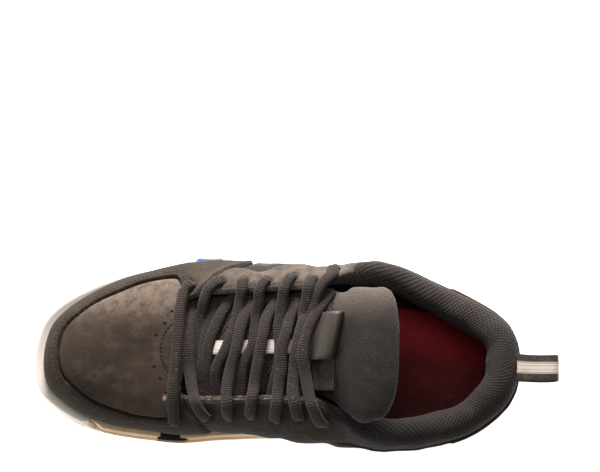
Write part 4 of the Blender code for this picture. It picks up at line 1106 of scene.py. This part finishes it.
def buildKeeper(look):
    sizes = keeperSizes
    half, wall = 0.5 * sizes["width"], sizes["wall"]
    arch = np.linspace(0.0, pi, 40)
    bow = np.maximum(np.sin(arch), 0.0) ** 0.95
    # the foot in front: how far ahead, and height, as shares
    foot = np.array([(0.8, 1.0), (1.0, 0.74), (1.0, 0.35)])
    along = np.linspace(-0.5, 0.5, 40) * sizes["length"]
    rings = []
    for across in along:
        size = 1.0 - 0.12 * ease(abs(across / sizes["length"]), 0.44, 0.5)
        outer = sizes["height"] * bow * size
        outer = np.where(arch > 0.5 * pi, np.maximum(outer, wall), outer)
        inner = (sizes["height"] - wall) * bow[::-1] * size
        x = np.concatenate([-half * np.cos(arch), half + foot[:, 0] * sizes["foot"],
                            (wall - half) * np.cos(arch[::-1])])
        x += xOf(sizes["share"]) + sizes["slant"] * across
        y = sizes["across"] + across + 0.0 * x
        lift = np.concatenate([outer + 0.0002, foot[:, 1] * 1.4 * wall + 0.0004, inner + 0.0002])
        rings.append(np.stack([x, y, tongueTop(shareOfX(x), y) + lift], -1))
    layers = flatLayer(along, np.linspace(0, 0.04, len(rings[0]) + 1))
    return gridMesh("keeperBody", np.array(rings), [look], layers)


keeper = buildKeeper(rubberMaterial("keeperLook", (45, 38, 32), (35, 30, 25), 0.6, 0.05, 150, 138, 128))
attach(keeper, "root")
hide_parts("lace_keeper")


# pull loop: ribbed webbing folded over behind the heel
loopSizes = {
    "width": 0.0152, "thick": 0.0016, "rib": 0.00012, "ribPitch": 0.0013,
    "bands": ((0.0, 196, 182, 172), (0.13, 146, 133, 124), (0.19, 200, 187, 177),
              (0.32, 120, 109, 102), (0.37, 176, 164, 155), (0.45, 36, 31, 28)),
}


def buildLoop():
    sizes = loopSizes
    half = 0.5 * sizes["thick"]
    low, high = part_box("pull_loop")
    middle, rise = 0.5 * (high.z + low.z), 0.5 * (high.z - low.z) - half
    start, bend = high.x + 0.003, low.x + half + 0.6 * rise
    points = [(start, rise), (0.5 * (high.x + bend), rise - 0.0004)]
    points += [(bend - 0.6 * sin(pi * k / 12) * rise, cos(pi * k / 12) * rise) for k in range(13)]
    points += [(0.5 * (high.x + bend), 0.0003 - rise), (start, -rise)]
    line = [(x, 0.5 * (low.y + high.y) + 0.0006 * sin(x * 90.0), middle + z) for x, z in points]
    path, _ = resample(line, 110)
    way = unit(np.gradient(path, axis=0))
    faceWay = np.stack([-way[:, 2], 0.0 * way[:, 0], way[:, 0]], -1)
    look = stripeMaterial("loopLook", 0.5 * sizes["width"], sizes["ribPitch"], sizes["bands"])
    return ribbonMesh("loopWebbing", path, sizes["width"], sizes["thick"], look, faceWay, 20, 0.3,
                      sizes["rib"], sizes["ribPitch"])


loop = buildLoop()
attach(loop, "root")
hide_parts("pull_loop")
print("stage: straps, keeper and loop built")


# insole: a cupped foam bed with a cloth top
insoleSizes = {"columns": 240, "rings": 44, "cupping": 0.0035, "thick": 0.005}


def clothMaterial():
    made, tree = newMaterial("insoleLook", Roughness=0.88, Sheen_Weight=0.05, Specular_IOR_Level=0.2)
    where = position(tree)
    x, y, _ = split(where)
    cords = cordsOf(x, y, 0.0009, 0.5)
    shade = mulAdd(cords["Shade"], 0.25, mul(noise(where, 40.0, 4.0, 0.6), 0.8))
    colour = mixColour(ramp(shade, 0.25, 0.85), srgb(66, 16, 19), srgb(92, 22, 26))
    # painted light on the outer side of the bed, painted shade on the inner side
    inward = mulAdd(x, 0.25, y)
    colour = tint(colour, ramp(inward, 0.004, -0.024), 150, 34, 40)
    colour = tint(colour, ramp(inward, 0.01, 0.034, 0.0, 0.7), 40, 13, 15)
    patchy = ramp(noise(where, 22.0, 3.0, 0.5), 0.45, 0.75, 0.0, 0.3)
    colour = dusty(tint(colour, patchy, 58, 22, 22), where, 150.0, 0.1, 150, 110, 104)
    return dress(made, colour, cords["Height"], 0.0002, 0.6)


def buildInsole(look):
    sizes = insoleSizes
    turns = evenTurns(sizes["columns"])
    share = shareAt(turns)
    rim = inside(turns, rimWidth(share) + 2 * form["fit"] + form["wall"], footBed, form["fit"])
    # the middle line that each column runs to
    x = np.clip(rim[:, 0], xOf(0.13), xOf(0.88))
    middle = np.stack([x, np.interp(x, [xOf(0.1), xOf(0.9)], [0.003, 0.001]), rim[:, 2]], -1)
    rows = [rim, rim + np.array([0, 0, sizes["thick"] - 0.001])]
    for q in np.linspace(0.0, 0.97, sizes["rings"]):
        spot = rim + (middle - rim) * q
        spot[:, 2] = footBed(shareOfX(spot[:, 0])) + form["fit"] + sizes["thick"]
        spot[:, 2] += sizes["cupping"] * (1 - ease(q, 0.0, 0.55)) * (1 - ease(share, 0.3, 0.6))
        spot[:, 2] += waves(spot[:, 0], spot[:, 1], 41, 0.06) * 0.0003 - 0.0008 * (q < 0.02)
        rows.append(spot)
    return gridMesh("insoleBed", np.array(rows), [look])


insole = buildInsole(clothMaterial())
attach(insole, "root")
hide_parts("insole")


# soles and inserts: the frame's own solids in their looks
creamShade, creamLit, gumShade = (150, 145, 138), (232, 223, 211), (108, 86, 58)


def gumToCream(where, gum):
    # tan along the side, cream round the toe, both darkened to the outer side with painted shade
    x, y, _ = split(where)
    inner = ramp(y, -0.035, 0.03)
    border = ramp(y, -0.01, 0.01, float(xOf(0.7)), float(xOf(0.905)))
    ahead = ramp(calc("SUBTRACT", x, border), -0.006, 0.002)
    gum = tint(gum, ramp(inner, 0.0, 1.0, 0.85, 0.0), *gumShade)
    cream = mixColour(inner, srgb(*creamShade), srgb(*creamLit))
    return mixColour(ahead, gum, cream)


def litInside(where, plain):
    # painted light: paler towards the inner side
    return tint(plain, ramp(split(where)[1], -0.035, 0.03, 0.0, 0.85), *creamLit)


looks = {
    "outsole": rubberMaterial("creamRubberLook", creamShade, (142, 135, 126), 0.55, 0.35, 128, 108, 88,
                              change=litInside),
    "midsole": rubberMaterial("gumFoamLook", (226, 200, 162), (208, 172, 128), 0.5, 0.25, 150, 116, 82,
                              change=gumToCream),
    "lateral_insert": rubberMaterial("blueInsertLook", (78, 116, 168), (54, 90, 142), 0.3, 0.06,
                                     150, 140, 130),
    "medial_insert": rubberMaterial("blackInsertLook", (19, 16, 15), (13, 11, 11), 0.85, 0.1, 110, 100, 92),
}
for node, look in looks.items():
    cadNodes[node].data.materials.clear()
    cadNodes[node].data.materials.append(look)


# plug in the inner side: a rounded wedge whose head reaches the rim
plugSizes = {"share": 0.708, "half": 0.0106, "low": 0.0014, "high": 0.014, "proud": 0.0004, "taper": 0.3}


def buildPlug(look):
    sizes = plugSizes
    middle = outline(turnOf(sizes["share"], "medial"))
    low, high = (treadTop(np.array(sizes["share"])) + sizes[key] for key in ("low", "high"))
    a, b = oval(64, 0.5, 0.5)
    rings = []
    for out, size in ((-0.006, 1.0), (-0.002, 1.0), (0.0, 1.0), (0.5, 0.97), (0.85, 0.92), (1.0, 0.84)):
        out = out * sizes["proud"] if out > 0 else out
        x = middle[0] + a * sizes["half"] * (1.0 - sizes["taper"] * 0.5 * (1 - b)) * size
        z = 0.5 * (low + high) + 0.5 * (high - low) * b * (0.5 + 0.5 * size)
        edge = outline(turnOf(shareOfX(x), "medial"))[..., 1]
        rings.append(np.stack([x, edge + out - 0.0024 + 0.0012 * ease(z, low, high), z], -1))
    return gridMesh("plugInner", np.array(rings), [look])


plug = buildPlug(looks["medial_insert"])
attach(plug, "root")
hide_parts("medial_insert")


# the bumper's smooth face, rolled over on to the rim
bumperSizes = {"lateral": 0.745, "medial": 0.885, "columns": 260, "roll": 0.0014, "proud": 0.00025,
               "start": 0.62}


def buildBumper(look):
    sizes, base = bumperSizes, form["tread"] * bumperSizes["start"]
    fine = np.linspace(-turnOf(sizes["medial"], "lateral"), turnOf(sizes["lateral"], "lateral"), 2001)
    run = runOf(outline(fine))
    along = np.linspace(0, run[-1], sizes["columns"])
    turns = np.interp(along, run, fine)
    share = shareAt(turns)
    shrink = 0.001 * (1.0 - ease(np.minimum(along, run[-1] - along), 0.0, 0.004))
    lean, wide, roll = form["bumperLean"], rimWidth(share) + 0.0002, sizes["roll"]
    rings = []
    for q in np.linspace(0.0, 1.0, 12):
        spot = inside(turns, lean * q ** 1.2 - sizes["proud"] + shrink, underside)
        low, high = underside(share) + base, rimTop(shareOfX(spot[:, 0])) - roll
        spot[:, 2] = low + (high - low) * q
        rings.append(spot)
    for angle in np.linspace(0.15, 0.5 * pi, 8):
        inset = lean - sizes["proud"] + shrink + roll * (1 - cos(angle))
        rings.append(inside(turns, inset, rimTop, 0.0004 - roll * (1 - sin(angle))))
    start = lean + shrink + roll
    for q in np.linspace(0.2, 1.0, 6):
        rings.append(inside(turns, start + (wide - start) * q, rimTop, 0.0004 - 0.0004 * q))
    rings.append(inside(turns, wide, rimTop, -0.002))
    rings.append(inside(turns, 0.0035 + 0.0 * wide, rimTop, -0.0035))
    rings.append(inside(turns, 0.002 + 0.0 * wide, underside, base))
    return gridMesh("toeBumper", np.array(rings).swapaxes(0, 1), [look])


bumper = buildBumper(looks["outsole"])
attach(bumper, "root")
print("stage: soles finished")


# floor, light and camera
bpy.ops.mesh.primitive_plane_add(size=3.0, location=(0.1, 0.0, 0.0))
floor = bpy.context.object
floor.name = "paleFloor"
floor.data.materials.append(newMaterial(
    "floorLook", Roughness=0.9, Specular_IOR_Level=0.1, Base_Color=(0.93, 0.93, 0.93, 1.0),
    Emission_Color=(1.0, 1.0, 1.0, 1.0), Emission_Strength=0.72)[0])

world = bpy.data.worlds.new("softRoom")
bpy.context.scene.world = world
world.use_nodes = True
room = world.node_tree.nodes["Background"].inputs
room["Color"].default_value = (1.0, 0.99, 0.98, 1.0)
room["Strength"].default_value = 0.24


def softLight(name, place, aim, size, power):
    data = bpy.data.lights.new(name, "AREA")
    data.shape = "DISK"
    data.size = size
    data.energy = power
    data.color = (1.0, 0.97, 0.94)
    made = bpy.data.objects.new(name, data)
    bpy.context.scene.collection.objects.link(made)
    made.location = place
    made.rotation_euler = (Vector(place) - Vector(aim)).to_track_quat("Z", "Y").to_euler()


softLight("keyLight", (0.22, -1.15, 0.5), (0.09, 0.0, 0.04), 0.5, 50.0)
softLight("toeLight", (1.15, 0.3, 0.3), (0.2, 0.0, 0.03), 0.5, 4.5)
softLight("topLight", (0.1, -0.35, 1.45), (0.09, 0.0, 0.04), 0.8, 7.0)

# focal, shifts and width in the photograph's pixels, angles in degrees, sensor in mm, the rest in metres
cameraSizes = {"focal": 1587.3, "right": 23.0, "up": 128.0, "tilt": 5.0, "yaw": 1.4, "distance": 1.0,
               "x": 0.09668, "photoWidth": 600.0, "sensor": 36.0}


def placeCamera():
    sizes = cameraSizes
    tilt, yaw = radians(sizes["tilt"]), radians(sizes["yaw"])
    across = Vector((cos(yaw), sin(yaw), 0.0))
    side = Vector((-sin(yaw), cos(yaw), 0.0))
    back = sin(tilt) * side + cos(tilt) * Vector((0, 0, 1))
    upward = -cos(tilt) * side + sin(tilt) * Vector((0, 0, 1))
    aim = (-back * sizes["focal"] - across * sizes["right"] + upward * sizes["up"]).normalized()
    axisX = aim.cross(upward).normalized()
    axisY = axisX.cross(aim)
    turned = Matrix((axisX, axisY, -aim)).transposed().to_4x4()
    turned.translation = Vector((sizes["x"], 0.0, 0.0)) + back * sizes["distance"]
    data = bpy.data.cameras.new("photoCamera")
    data.sensor_width = sizes["sensor"]
    data.lens = sizes["focal"] * sizes["sensor"] / sizes["photoWidth"]
    made = bpy.data.objects.new("photoCamera", data)
    bpy.context.scene.collection.objects.link(made)
    made.matrix_world = turned
    bpy.context.scene.camera = made


placeCamera()
bpy.context.scene.view_settings.view_transform = "Standard"
bpy.context.scene.view_settings.look = "None"
print("stage: floor, light and camera placed")
